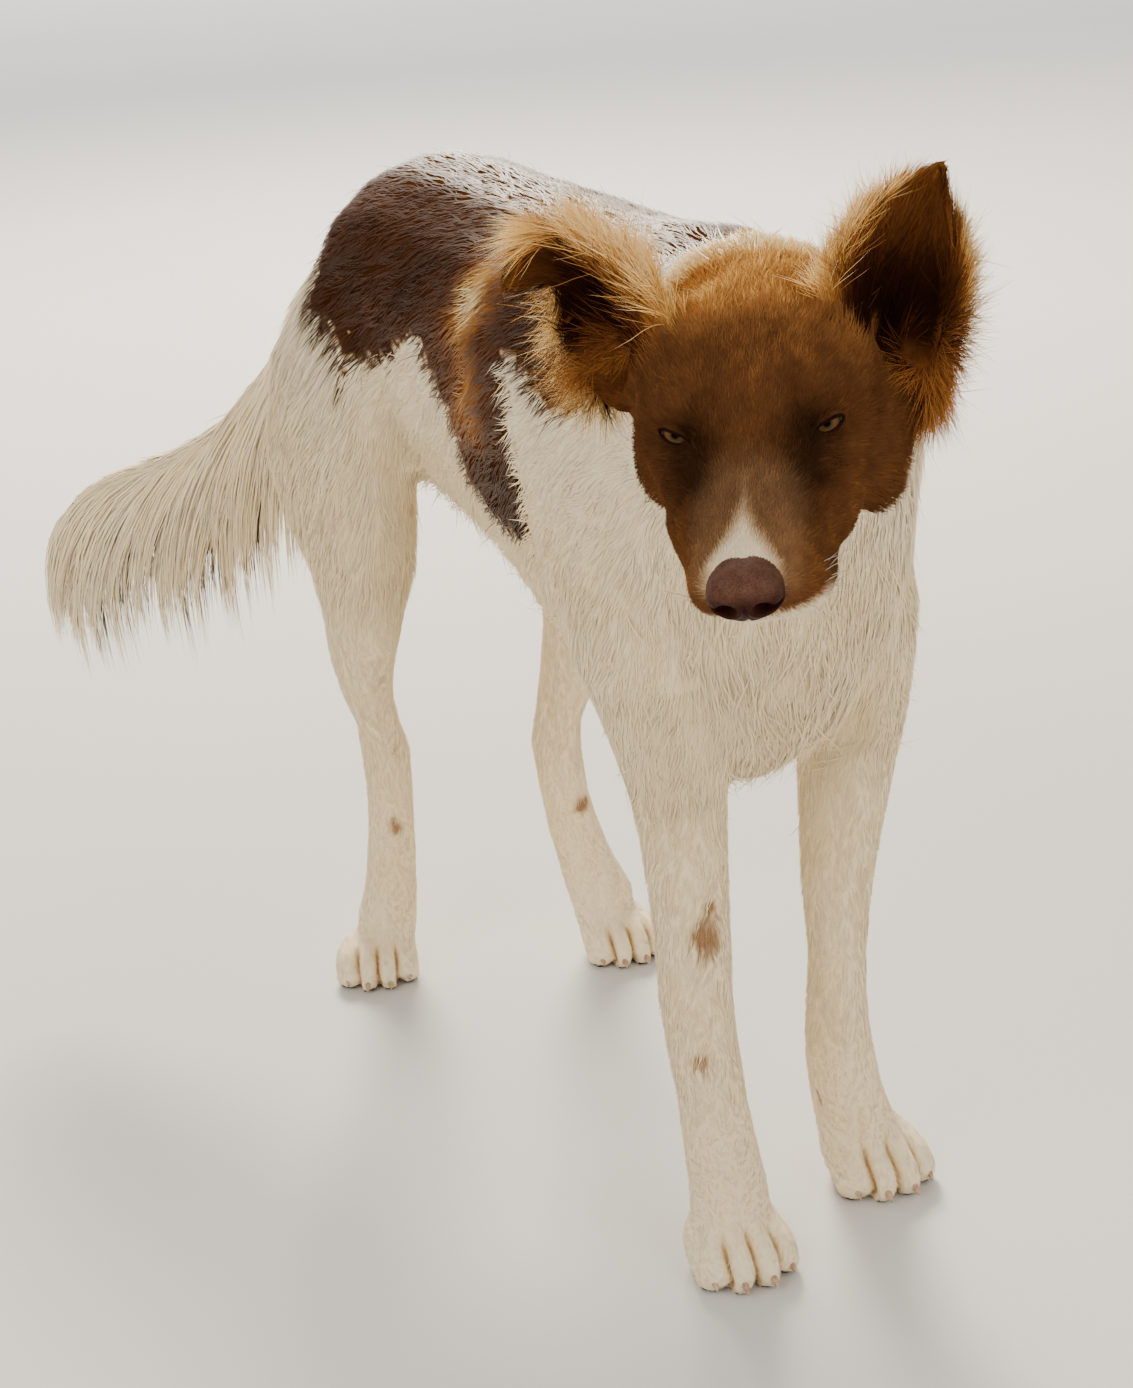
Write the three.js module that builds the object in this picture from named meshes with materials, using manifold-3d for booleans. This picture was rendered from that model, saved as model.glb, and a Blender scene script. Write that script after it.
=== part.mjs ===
// A life-size standing dog of collie type, as a still museum model: head turned to its right,
// right ear folded over, left ear pricked, feathered tail carried low.
// Millimetres, +Z up. The dog faces -Y, so its left side is +X. The origin is on the floor,
// at the middle of the dog's own footprint box.
import * as THREE from "three";
import { mergeVertices } from "three/addons/utils/BufferGeometryUtils.js";
import Module from "manifold-3d";

const wasm = await Module();
wasm.setup();

// ---- Driving sizes ------------------------------------------------------------------------
const JOINT_GAP = 0.35; // clearance that one piece keeps from its neighbour
const CUT_GAP = 0.4; // width of the thin cuts across a limb
const SOLE_DEPTH = 2.5; // how much of each pad the floor flattens
const EYE_RADIUS = 10.5;
const EYE_SPACING = 62; // between the two pupils
const TOE_SPREAD = [-21.5, -8, 8, 21.5]; // across the paw, outer toes first and last
const CLAW_LENGTH = 10.5;
const SPINE_Z = 452;
const ELBOW_CUT_Z = 262;
const WRIST_CUT_Z = 100;
const STIFLE_CUT_Z = 292;
const HOCK_CUT_Z = 128;

// Where the head sits: the point midway between the pupils, and how the head is turned.
const HEAD = {
  at: [-135, -373, 530.5],
  turn: -37.1, // to the dog's right
  nod: 12.7, // nose down
  tilt: -3.9, // left eye a little higher
};

const LIVER = "#5a2d1a";
const WHITE = "#efe6d8";
const NOSE_LEATHER = "#5b3a36";
const AMBER = "#8a6a3c";
const HORN = "#c9b9a4";

const UP = new THREE.Vector3(0, 0, 1);
const FORWARD = new THREE.Vector3(0, -1, 0);

// ---- Making flesh -------------------------------------------------------------------------

/** One cross-section of a body: its centre, half width, and half depth to each side. */
const section = (x, y, z, wide, up, down, pear = 0) => ({
  at: new THREE.Vector3(x, y, z),
  girth: new THREE.Vector3(wide, up, down),
  pear,
});

/**
 * A closed body skinned over a smooth spine through the sections. `facing` is the way the
 * sections' "up" side looks, `domes` the lengths of the rounded ends, and `grow` thickens it
 * all round, which is how a neighbour is cut back to leave a gap. `pear` on a section makes
 * its lower half wider than its upper half.
 */
function flesh(
  sections,
  { rings = 12, sides = 14, facing = UP, domes = [8, 8], grow = 0, caps = 2 } = {},
) {
  const spine = new THREE.CatmullRomCurve3(sections.map((s) => s.at), false, "catmullrom", 0.5);
  const girths = new THREE.CatmullRomCurve3(sections.map((s) => s.girth), false, "catmullrom", 0.5);
  const pears = new THREE.CatmullRomCurve3(
    sections.map((s) => new THREE.Vector3(s.pear, 0, 0)), false, "catmullrom", 0.5);
  const rows = rings + 2 * caps;
  const body = new THREE.SphereGeometry(1, sides, rows);
  const place = body.getAttribute("position");
  for (let row = 0; row <= rows; row++) {
    const start = row < caps;
    const end = row > rows - caps;
    const t = start ? 0 : end ? 1 : (row - caps) / rings;
    const lift = start ? row / caps : end ? (rows - row) / caps : 1;
    const swell = Math.sin((lift * Math.PI) / 2);
    const dome = start ? -(domes[0] + grow) : end ? domes[1] + grow : 0;
    const reach = Math.cos((lift * Math.PI) / 2) * dome;
    const along = spine.getTangent(t);
    const side = facing.clone().cross(along).normalize();
    const out = along.clone().cross(side);
    const centre = spine.getPoint(t).addScaledVector(along, reach);
    const girth = girths.getPoint(t);
    const pear = pears.getPoint(t).x;
    for (let k = 0; k <= sides; k++) {
      const angle = (k / sides) * 2 * Math.PI;
      const rise = Math.sin(angle);
      const width = (girth.x * (1 - pear * rise) + grow) * swell;
      const depth = ((rise > 0 ? girth.y : girth.z) + grow) * swell;
      const point = centre.clone().addScaledVector(side, -Math.cos(angle) * width);
      point.addScaledVector(out, rise * depth);
      place.setXYZ(row * (sides + 1) + k, point.x, point.y, point.z);
    }
  }
  return body;
}

/** An egg: a sphere stretched to three half sizes, for muscles and pads. */
function egg(x, y, z, rx, ry, rz, { grow = 0, sides = 12, rows = 8 } = {}) {
  const body = new THREE.SphereGeometry(1, sides, rows);
  body.rotateX(Math.PI / 2);
  body.scale(rx + grow, ry + grow, rz + grow);
  body.translate(x, y, z);
  return body;
}

/** The manifold-3d solid of a closed geometry, placed by a matrix if one is given. */
function solid(geometry, matrix = new THREE.Matrix4()) {
  const bare = geometry.clone().applyMatrix4(matrix);
  bare.deleteAttribute("normal");
  bare.deleteAttribute("uv");
  const merged = mergeVertices(bare, 1e-3);
  return new wasm.Manifold(
    new wasm.Mesh({
      numProp: 3,
      vertProperties: merged.getAttribute("position").array,
      triVerts: new Uint32Array(merged.index.array),
    }),
  );
}

const joined = (solids) => solids.reduce((whole, next) => whole.add(next));

/** A named mesh of a solid, in its own material. */
function piece(name, shape, colour, roughness = 0.85) {
  const { vertProperties, triVerts, numProp } = shape.getMesh();
  const corners = new Float32Array((vertProperties.length / numProp) * 3);
  for (let i = 0; i < corners.length / 3; i++)
    for (let axis = 0; axis < 3; axis++) corners[3 * i + axis] = vertProperties[numProp * i + axis];
  const geometry = new THREE.BufferGeometry();
  geometry.setAttribute("position", new THREE.BufferAttribute(corners, 3));
  geometry.setIndex(new THREE.BufferAttribute(new Uint32Array(triVerts), 1));
  geometry.computeVertexNormals();
  const mesh = new THREE.Mesh(
    geometry,
    new THREE.MeshStandardMaterial({ color: colour, roughness, metalness: 0 }),
  );
  mesh.name = name;
  return mesh;
}

/** The two halves of a solid on each side of a thin cut: ahead of the normal, and behind it. */
function partedAt(shape, point, normal) {
  const n = normal.clone().normalize();
  const level = n.dot(point);
  const back = n.clone().negate();
  return [
    shape.trimByPlane(n.toArray(), level + CUT_GAP / 2),
    shape.trimByPlane(back.toArray(), -(level - CUT_GAP / 2)),
  ];
}

// ---- Trunk, neck and tail -----------------------------------------------------------------

/** One cross-section of the trunk, whose spine is level: its half width, top and bottom. */
const barrel = (x, y, wide, top, bottom) =>
  section(x, y, SPINE_Z, wide, top - SPINE_Z, SPINE_Z - bottom);

/** Chest, belly and rump, from the buttocks forward to the breastbone. */
const trunk = (grow = 0) =>
  solid(flesh(
    [
      barrel(10, 272, 50, 502, 412),
      barrel(10, 232, 72, 535, 386),
      barrel(9, 176, 77, 552, 357),
      barrel(6, 100, 72, 552, 339),
      barrel(4, 22, 79, 550, 322),
      barrel(1, -56, 88, 548, 292),
      barrel(0, -126, 92, 553, 260),
      barrel(-4, -182, 84, 534, 286),
      barrel(-8, -222, 60, 496, 330),
    ],
    { rings: 18, sides: 16, domes: [18, 24], grow, caps: 2 },
  ));

/** The neck, thick at the shoulders, curving to the right up to the back of the skull. */
const neck = (grow = 0) =>
  solid(flesh(
    [
      section(2, -96, 468, 60, 68, 76),
      section(-14, -164, 480, 66, 70, 84),
      section(-40, -222, 500, 61, 64, 80),
      section(-68, -272, 520, 55, 57, 68),
      section(-92, -310, 528, 47, 46, 56),
    ],
    { rings: 6, sides: 12, domes: [20, 10], grow, caps: 1 },
  ));

/** The tail, whose feathering hangs below a slim core. */
const TAIL_SECTIONS = [
  section(9, 262, 490, 24, 24, 24),
  section(0, 300, 452, 23, 22, 30),
  section(-32, 330, 400, 21, 20, 56),
  section(-66, 358, 352, 21, 19, 84),
  section(-98, 394, 320, 22, 19, 104),
  section(-128, 430, 302, 22, 20, 112),
  section(-154, 460, 276, 17, 18, 78),
];
const TAIL_CUTS = [0.36, 0.66];
const PLUME_SECTIONS = [
  section(-140, 440, 282, 18, 32, 34),
  section(-144, 446, 236, 20, 44, 42),
  section(-143, 444, 198, 12, 33, 32),
];
const TAIL_HEADING = new THREE.Vector3(-0.65, 0.76, 0);

function tailLengths() {
  const core = solid(flesh(TAIL_SECTIONS, { rings: 11, sides: 10, domes: [10, 16] }));
  const plume = solid(flesh(
    PLUME_SECTIONS,
    { rings: 3, sides: 8, facing: TAIL_HEADING, domes: [8, 10], caps: 1 },
  ));
  const whole = core.add(plume).subtract(trunk(JOINT_GAP));
  const path = new THREE.CatmullRomCurve3(TAIL_SECTIONS.map((s) => s.at), false, "catmullrom", 0.5);
  const [rest, root] = partedAt(whole, path.getPoint(TAIL_CUTS[0]), path.getTangent(TAIL_CUTS[0]));
  const [tip, middle] = partedAt(rest, path.getPoint(TAIL_CUTS[1]), path.getTangent(TAIL_CUTS[1]));
  return { tail_root: root, tail_middle: middle, tail_tip: tip };
}

// ---- Head ---------------------------------------------------------------------------------
// The head's own frame has its origin midway between the pupils, -Y to the nose, +X to its left.

const headPlace = new THREE.Matrix4()
  .makeRotationFromEuler(new THREE.Euler(
    THREE.MathUtils.degToRad(HEAD.nod),
    THREE.MathUtils.degToRad(HEAD.tilt),
    THREE.MathUtils.degToRad(HEAD.turn),
    "ZXY",
  ))
  .setPosition(...HEAD.at);
const headPoint = (x, y, z) => new THREE.Vector3(x, y, z).applyMatrix4(headPlace);
const headWay = (x, y, z) => new THREE.Vector3(x, y, z).transformDirection(headPlace);
const inHead = (geometry) => solid(geometry, headPlace);

/** Skull, muzzle, jaw, cheeks and brows as one mass. */
function headMass(grow = 0) {
  const skull = flesh(
    [
      section(0, 100, 2, 36, 22, 38),
      section(0, 80, 0, 46, 32, 46),
      section(0, 56, -1, 52, 38, 49),
      section(0, 34, -3, 56, 40, 48),
      section(0, 12, -5, 52, 33, 44),
      section(0, -6, -8, 43, 24, 38),
      section(0, -18, -10, 33, 17, 32),
    ],
    { rings: 6, sides: 14, domes: [8, 8], grow },
  );
  const muzzle = flesh(
    [
      section(0, 8, -16, 42, 26, 33, 0.12),
      section(0, -14, -19, 35, 23, 31, 0.24),
      section(0, -34, -20, 30, 18.5, 28, 0.28),
      section(1, -56, -21, 26.5, 15.5, 25, 0.28),
      section(0, -74, -23, 23.5, 13.5, 21, 0.2),
      section(0, -82, -24, 20, 12, 17, 0.1),
    ],
    { rings: 5, sides: 12, domes: [6, 5], grow },
  );
  const jaw = flesh(
    [
      section(0, 32, -38, 38, 12, 16),
      section(0, 0, -42, 32, 12, 14),
      section(0, -36, -43, 21, 10, 11),
      section(0, -64, -42, 16, 9, 9.5),
    ],
    { rings: 3, sides: 8, domes: [8, 8], grow, caps: 1 },
  );
  const pairs = [-1, 1].flatMap((side) => [
    egg(side * 40 + 1, 34, -18, 24, 33, 31, { grow, sides: 8, rows: 6 }),
    egg(side * 25, 5, 12, 17, 13, 9, { grow, sides: 6, rows: 4 }),
  ]);
  return joined([skull, muzzle, jaw, ...pairs].map(inHead));
}

const eyeCentre = (side) => [side * (EYE_SPACING / 2 - 1.5), 9.5, -0.5];

/** An eyeball, and with `grow` the room it needs. */
const eyeball = (side, grow = 0) =>
  inHead(egg(...eyeCentre(side), EYE_RADIUS, EYE_RADIUS, EYE_RADIUS, { grow, sides: 10, rows: 8 }));

/** The almond opening between the lids, as a body that leaves the socket outwards. */
function lidOpening(side) {
  const [x, y, z] = eyeCentre(side);
  return inHead(flesh(
    [
      section(x, y, z, 8, 3, 3),
      section(x + side * 3, y - 9, z, 10.5, 4.6, 4.6),
      section(x + side * 8, y - 24, z, 14, 7, 7),
    ],
    { rings: 2, sides: 6, domes: [1, 1], caps: 1 },
  ));
}

/** The bare nose, with a dent for each nostril. */
function nose(grow = 0) {
  const pad = inHead(flesh(
    [
      section(0, -75, -21, 13, 8, 10, 0.05),
      section(0, -82, -21.5, 16, 10.5, 12, 0),
      section(0, -89, -22.5, 15.5, 10.5, 12, -0.05),
      section(0, -93.5, -23.5, 12, 8, 9.5, -0.05),
    ],
    { rings: 3, sides: 10, domes: [2, 3], grow, caps: 1 },
  ));
  if (grow) return pad;
  const nostrils = [-1, 1].map((side) =>
    inHead(egg(side * 7.5, -96.5, -23.5, 3.2, 5, 3.4, { sides: 6, rows: 4 })));
  return nostrils.reduce((shape, dent) => shape.subtract(dent), pad);
}

/** A cupped ear: an outer leaf over a curved line, with the hollow of the cup taken out. */
function ear(leaf, hollow, facing) {
  const outer = inHead(flesh(leaf, { rings: 6, sides: 9, facing, domes: [6, 5], caps: 1 }));
  const cup = inHead(flesh(hollow, { rings: 4, sides: 7, facing, domes: [3, 2], caps: 1 }));
  return outer.subtract(cup);
}

/** The left ear stands up and leans outwards. */
const leftEar = () =>
  ear(
    [
      section(60, 46, -22, 24, 18, 16),
      section(55, 57, 3, 38, 22, 18),
      section(61, 65, 29, 39, 19, 16),
      section(71, 71, 51, 29, 13, 12),
      section(80, 77, 71, 9, 5, 5),
    ],
    [
      section(60, 47, 6, 15, 12, 8),
      section(67, 52, 28, 20, 12, 9),
      section(74, 59, 46, 14, 9, 7),
      section(80, 68, 62, 3, 3, 3),
    ],
    new THREE.Vector3(0.35, -0.94, 0),
  );

/** The right ear stands out sideways and its tip folds over, forward and down. */
const rightEar = () =>
  ear(
    [
      section(-44, 50, 0, 33, 22, 18),
      section(-57, 60, 26, 41, 19, 16),
      section(-70, 68, 46, 33, 15, 13),
      section(-88, 74, 50, 18, 9, 9),
      section(-103, 75, 37, 7, 5, 5),
    ],
    [
      section(-58, 46, 4, 16, 12, 8),
      section(-64, 50, 22, 23, 12, 9),
      section(-73, 56, 36, 19, 9, 8),
      section(-86, 64, 40, 9, 6, 6),
    ],
    new THREE.Vector3(-0.35, -0.8, -0.5),
  );

// ---- Paws ---------------------------------------------------------------------------------

/**
 * A paw's place: its middle on the floor, how far it is turned out to the dog's left, and its
 * size beside a forepaw's.
 */
const pawPlace = ({ at, turn, size }) =>
  new THREE.Matrix4()
    .makeRotationZ(THREE.MathUtils.degToRad(turn))
    .scale(new THREE.Vector3(size, size, size))
    .setPosition(at[0], at[1], 0);

const toeReach = (x) => (Math.abs(x) > 15 ? -25 : -35);

/** Four toes and the pads behind them, cut off flat on the floor. */
function paw(place, grow = 0) {
  const matrix = pawPlace(place);
  const toes = TOE_SPREAD.map((x) => {
    const tip = toeReach(x);
    return flesh(
      [
        section(x * 0.72, tip + 36, 22, 9, 10, 14),
        section(x * 0.92, tip + 14, 19, 10, 9.5, 17),
        section(x, tip, 11, 9, 9, 12),
      ],
      { rings: 2, sides: 6, domes: [4, 6.5], grow, caps: 1 },
    );
  });
  const pads = [
    egg(0, 3, 12, 21, 22, 15, { grow, sides: 8, rows: 5 }),
    egg(0, -9, 18, 23, 20, 12, { grow, sides: 8, rows: 4 }),
  ];
  return joined([...toes, ...pads].map((shape) => solid(shape, matrix))).translate(0, 0, -SOLE_DEPTH);
}

/** The claw of one toe, pointing forward and down clear of the floor. */
function claw(place, x, room) {
  const tip = toeReach(x);
  const horn = flesh(
    [
      section(x, tip, 9, 3.2, 2.8, 2.8),
      section(x * 1.01, tip - 7, 8.6, 2.7, 2.4, 2.4),
      section(x * 1.02, tip - CLAW_LENGTH, 5.6, 1.1, 1, 1),
    ],
    { rings: 2, sides: 5, domes: [1, 1], caps: 1 },
  );
  return solid(horn, pawPlace(place)).subtract(room);
}

// ---- Legs ---------------------------------------------------------------------------------

const FORELEGS = {
  right: {
    paw: { at: [-40, -175], turn: -11, size: 1.03 },
    dewclaw: [-21, -173, 70],
    line: [
      section(-52, -140, 420, 36, 42, 54),
      section(-60, -152, 362, 38, 43, 54),
      section(-50, -148, 318, 33, 38, 44),
      section(-41, -142, 276, 27, 29, 35),
      section(-42, -148, 236, 23, 23.5, 26),
      section(-45, -158, 188, 20.5, 19.5, 26),
      section(-47, -164, 146, 19, 18, 29),
      section(-45, -167, 112, 19.5, 17.5, 22),
      section(-42, -170, 74, 19, 16, 18),
      section(-38, -173, 34, 23, 17, 18),
    ],
  },
  left: {
    paw: { at: [73, -143], turn: -8, size: 1.04 },
    dewclaw: [38, -147, 68],
    line: [
      section(52, -136, 420, 36, 42, 54),
      section(66, -142, 362, 36, 42, 54),
      section(74, -136, 318, 32, 38, 44),
      section(79, -126, 272, 29, 30, 36),
      section(72, -129, 236, 26, 25, 28),
      section(61, -136, 186, 21, 20, 21),
      section(56, -142, 142, 16.5, 16.5, 17.5),
      section(53, -144, 104, 18.5, 17.5, 19.5),
      section(58, -144, 58, 20, 16.5, 18),
      section(66, -144, 30, 23, 17, 18),
    ],
  },
};

const HINDLEGS = {
  right: {
    paw: { at: [-51, 251], turn: -24, size: 0.94 },
    line: [
      section(-30, 200, 488, 27, 40, 44),
      section(-43, 203, 450, 38, 60, 63),
      section(-60, 202, 402, 38, 72, 84),
      section(-66, 190, 352, 35, 64, 72),
      section(-67, 178, 310, 28, 44, 54),
      section(-67, 192, 258, 20, 30, 34),
      section(-54, 222, 217, 16, 21, 25),
      section(-33, 254, 175, 13.5, 16, 20),
      section(-22, 270, 142, 17, 17.5, 20),
      section(-24, 267, 104, 15.5, 15, 16),
      section(-33, 256, 56, 17, 15, 16),
      section(-42, 252, 30, 22, 16, 17),
    ],
  },
  left: {
    paw: { at: [98, 184], turn: -12, size: 0.94 },
    line: [
      section(46, 198, 488, 27, 40, 44),
      section(59, 197, 450, 38, 60, 63),
      section(74, 186, 402, 38, 72, 84),
      section(80, 168, 352, 34, 64, 72),
      section(76, 146, 308, 28, 46, 54),
      section(74, 162, 256, 22, 32, 36),
      section(78, 190, 208, 18.5, 22, 26),
      section(80, 214, 168, 15, 17, 20),
      section(82, 225, 136, 17.5, 17.5, 20),
      section(84, 216, 92, 16, 15, 16),
      section(90, 204, 54, 19, 15, 16),
      section(96, 193, 30, 23, 16, 17),
    ],
  },
};

const LEG_SKIN = { rings: 14, sides: 10, facing: FORWARD, domes: [16, 10], caps: 1 };

/** A whole leg from its root in the trunk down to its soles, with no gap cut yet. */
const limb = ({ line, paw: place }) =>
  joined([
    solid(flesh(line, LEG_SKIN)),
    paw(place),
  ])
    .subtract(trunk(JOINT_GAP))
    .trimByPlane(UP.toArray(), 0);

/** The three lengths of a leg, from the top down, parted by level cuts. */
function legPieces(leg, names, cuts) {
  const [upper, below] = partedAt(limb(leg), new THREE.Vector3(0, 0, cuts[0]), UP);
  const [middle, foot] = partedAt(below, new THREE.Vector3(0, 0, cuts[1]), UP);
  return { [names[0]]: upper, [names[1]]: middle, [names[2]]: foot };
}

/** The four claws of a paw. */
const pawClaws = (place) => {
  const room = paw(place, JOINT_GAP);
  return TOE_SPREAD.map((x) => claw(place, x, room));
};

/** The dewclaw on the inner side of a foreleg's pastern. */
function dewclaw({ line, dewclaw: [x, y, z] }, inward) {
  const horn = flesh(
    [
      section(x - inward * 7, y + 4, z + 1, 3.2, 2.8, 2.8),
      section(x + inward * 2, y - 1, z - 5, 2.8, 2.6, 2.6),
      section(x + inward * 4, y - 4, z - 14, 1.1, 1, 1),
    ],
    { rings: 2, sides: 5, domes: [1, 1], caps: 1, facing: FORWARD },
  );
  return solid(horn).subtract(solid(flesh(line, { ...LEG_SKIN, grow: JOINT_GAP })));
}

// ---- The whole dog ------------------------------------------------------------------------

const NAPE = headPoint(0, 92, 0);
const NAPE_WAY = headWay(0, -1, 0.12);

const dog = new THREE.Group();
const parts = {};

const fleshOfHead = headMass().add(neck());
const [headFront, neckBack] = partedAt(fleshOfHead, NAPE, NAPE_WAY);
parts.trunk = trunk();
parts.neck = neckBack.subtract(trunk(JOINT_GAP));
parts.head = [-1, 1].reduce(
  (shape, side) => shape.subtract(eyeball(side, JOINT_GAP)).subtract(lidOpening(side)),
  headFront.subtract(nose(JOINT_GAP)),
);
parts.nose = nose();
parts.eye_right = eyeball(-1);
parts.eye_left = eyeball(1);
const roomForHead = headMass(JOINT_GAP).add(neck(JOINT_GAP));
parts.ear_right = rightEar().subtract(roomForHead);
parts.ear_left = leftEar().subtract(roomForHead);
Object.assign(parts, tailLengths());

for (const side of ["right", "left"]) {
  const fore = FORELEGS[side];
  const hind = HINDLEGS[side];
  Object.assign(parts, legPieces(
    fore, [`upper_arm_${side}`, `forearm_${side}`, `forepaw_${side}`], [ELBOW_CUT_Z, WRIST_CUT_Z]));
  Object.assign(parts, legPieces(
    hind, [`thigh_${side}`, `shank_${side}`, `hindpaw_${side}`], [STIFLE_CUT_Z, HOCK_CUT_Z]));
  pawClaws(fore.paw).forEach((shape, i) => (parts[`claw_fore_${side}_${i + 1}`] = shape));
  pawClaws(hind.paw).forEach((shape, i) => (parts[`claw_hind_${side}_${i + 1}`] = shape));
  parts[`dewclaw_${side}`] = dewclaw(fore, side === "right" ? 1 : -1);
}

const colourOf = (name) => {
  if (name.startsWith("eye")) return [AMBER, 0.15];
  if (name === "nose") return [NOSE_LEATHER, 0.45];
  if (/claw/.test(name)) return [HORN, 0.4];
  return [/^(head|ear)/.test(name) ? LIVER : WHITE, 0.85];
};

for (const [name, shape] of Object.entries(parts)) dog.add(piece(name, shape, ...colourOf(name)));

const reach = new THREE.Box3().setFromObject(dog);
const middle = reach.getCenter(new THREE.Vector3());
dog.position.set(-middle.x, -middle.y, -reach.min.z);

export default dog;
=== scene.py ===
"""A life-size standing dog of collie type, as a still display model in a plain studio.

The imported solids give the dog's size, pose and outline out to the tips of its coat. Here one
skin replaces the solids of flesh and lies inside them by the coat's depth. Over it grows a
coat of solid tufts that follow the lie of the hair. Eyes, lid rims, nose and claws are pieces
of their own. Metres, +Z up, the dog faces -Y and its left side is +X.
"""

import logging
import math
from dataclasses import dataclass, field
from enum import Enum
from typing import Callable, Iterable, Sequence

import bmesh
import bpy
import numpy as np
from mathutils import Matrix, Vector
from mathutils.bvhtree import BVHTree
from mathutils.kdtree import KDTree


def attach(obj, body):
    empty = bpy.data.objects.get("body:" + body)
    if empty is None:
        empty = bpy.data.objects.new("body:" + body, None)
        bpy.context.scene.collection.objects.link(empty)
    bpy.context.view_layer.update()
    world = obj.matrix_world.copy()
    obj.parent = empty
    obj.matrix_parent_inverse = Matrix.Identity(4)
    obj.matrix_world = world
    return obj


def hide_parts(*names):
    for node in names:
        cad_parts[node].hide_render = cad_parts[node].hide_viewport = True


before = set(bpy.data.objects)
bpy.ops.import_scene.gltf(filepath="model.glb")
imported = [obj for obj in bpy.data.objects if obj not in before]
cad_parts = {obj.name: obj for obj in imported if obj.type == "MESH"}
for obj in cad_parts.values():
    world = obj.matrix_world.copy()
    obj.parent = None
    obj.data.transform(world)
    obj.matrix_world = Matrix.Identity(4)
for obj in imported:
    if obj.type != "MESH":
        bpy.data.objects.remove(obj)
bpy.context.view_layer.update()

Array = np.ndarray
Colour = tuple[float, float, float]
Stop = tuple[float, Colour]
Body = tuple[Array, Array]
Piece = bpy.types.Object
Material = bpy.types.Material
NodeTree = bpy.types.NodeTree
Socket = bpy.types.NodeSocket
LOG = logging.getLogger("dog")

MM = 0.001
BODY = "root"
BAKE_MAP = "OFBake"
UP = np.array([0.0, 0.0, 1.0])
DOWN = -UP


# ---- Small mathematics ----

def unit(vectors: Array) -> Array:
    """Each vector at length one."""
    return vectors / np.maximum(np.linalg.norm(vectors, axis=-1, keepdims=True), 1e-12)


def dot(a: Array, b: Array) -> Array:
    """The dot product of each pair of vectors."""
    return (a * b).sum(-1)


def ease(low: float, high: float, values: Array) -> Array:
    """A smooth step from 0 at `low` to 1 at `high`, which may be the smaller of the two."""
    t = np.clip((values - low) / (high - low), 0.0, 1.0)
    return t * t * (3.0 - 2.0 * t)


def hill(distance: Array, reach: float) -> Array:
    """A smooth hill: 1 at no distance, falling away over `reach`."""
    return np.exp(-(distance / reach) ** 2)


def flattened(directions: Array, normals: Array) -> Array:
    """The directions laid into the surface that has these normals."""
    return unit(directions - dot(directions, normals)[:, None] * normals)


def lump(x: Array, y: Array, z: Array, centre: Sequence[float], sizes: Sequence[float]) -> Array:
    """A smooth lump in space.

    Args:
        x: the points along X.
        y: the points along Y.
        z: the points along Z.
        centre: the lump's middle.
        sizes: how far it reaches along X, Y and Z.

    Returns:
        Its height at each point, 1 at its middle.
    """
    (cx, cy, cz), (sx, sy, sz) = centre, sizes
    away = np.sqrt(((x - cx) / sx) ** 2 + ((y - cy) / sy) ** 2 + ((z - cz) / sz) ** 2)
    return np.exp(-away**2)


class Ripple:
    """Smooth seeded noise: a sum of plane waves of nearly one wavelength."""

    def __init__(self, wavelength: float, seed: int, waves: int = 20) -> None:
        rng = np.random.default_rng(seed)
        ways = unit(rng.normal(size=(3, waves)).T).T
        self.pitch = ways * (2 * math.pi / wavelength) * rng.uniform(0.7, 1.3, waves)
        self.phase = rng.uniform(0, 2 * math.pi, waves)

    def at(self, points: Array) -> Array:
        """The noise at each point, about -1 to 1."""
        return np.cos(points @ self.pitch + self.phase).sum(1) / math.sqrt(len(self.phase))


@dataclass(frozen=True)
class Course:
    """A line through a body that its hair is combed along, such as an ear's or a tail's."""

    points: Array

    def near(self, places: Array) -> tuple[Array, Array, Array]:
        """Where each place stands beside the line.

        Args:
            places: the places, one a row.

        Returns:
            How far along the line each lies, 0 to 1; the nearest point; the line's heading.
        """
        starts, ends = self.points[:-1], self.points[1:]
        spans = ends - starts
        lengths = np.linalg.norm(spans, axis=1)
        before = np.concatenate([[0.0], np.cumsum(lengths)])
        best = np.full(len(places), np.inf)
        share = np.zeros(len(places))
        nearest = np.zeros_like(places)
        heading = np.zeros_like(places)
        for start, span, length, ahead in zip(starts, spans, lengths, before):
            t = np.clip((places - start) @ span / length**2, 0, 1)
            foot = start + t[:, None] * span
            away = np.linalg.norm(places - foot, axis=1)
            closer = away < best
            best[closer] = away[closer]
            share[closer] = ((ahead + t * length) / before[-1])[closer]
            nearest[closer] = foot[closer]
            heading[closer] = span / length
        return share, nearest, heading


@dataclass(frozen=True)
class Patch:
    """A flat outline on the dog's side, in millimetres along Y and Z, that bounds a marking."""

    outline: tuple[tuple[float, float], ...]

    def depth(self, y: Array, z: Array) -> Array:
        """How deep inside the outline each point is.

        Args:
            y: the points along Y, in millimetres.
            z: their heights, in millimetres.

        Returns:
            The depths in millimetres, below zero outside.
        """
        corners = np.array(self.outline)
        points = np.stack([y, z], 1)
        away = np.full(len(points), np.inf)
        inside = np.zeros(len(points), bool)
        for a, b in zip(corners, np.roll(corners, -1, axis=0)):
            span = b - a
            t = np.clip((points - a) @ span / (span @ span), 0, 1)
            away = np.minimum(away, np.linalg.norm(points - a - t[:, None] * span, axis=1))
            crosses = (a[1] > z) != (b[1] > z)
            run = a[0] + (z - a[1]) * span[0] / (span[1] if span[1] else 1e-9)
            inside ^= crosses & (y < run)
        return np.where(inside, away, -away)


# ---- The parts of the dog and the head's own frame ----

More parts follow.
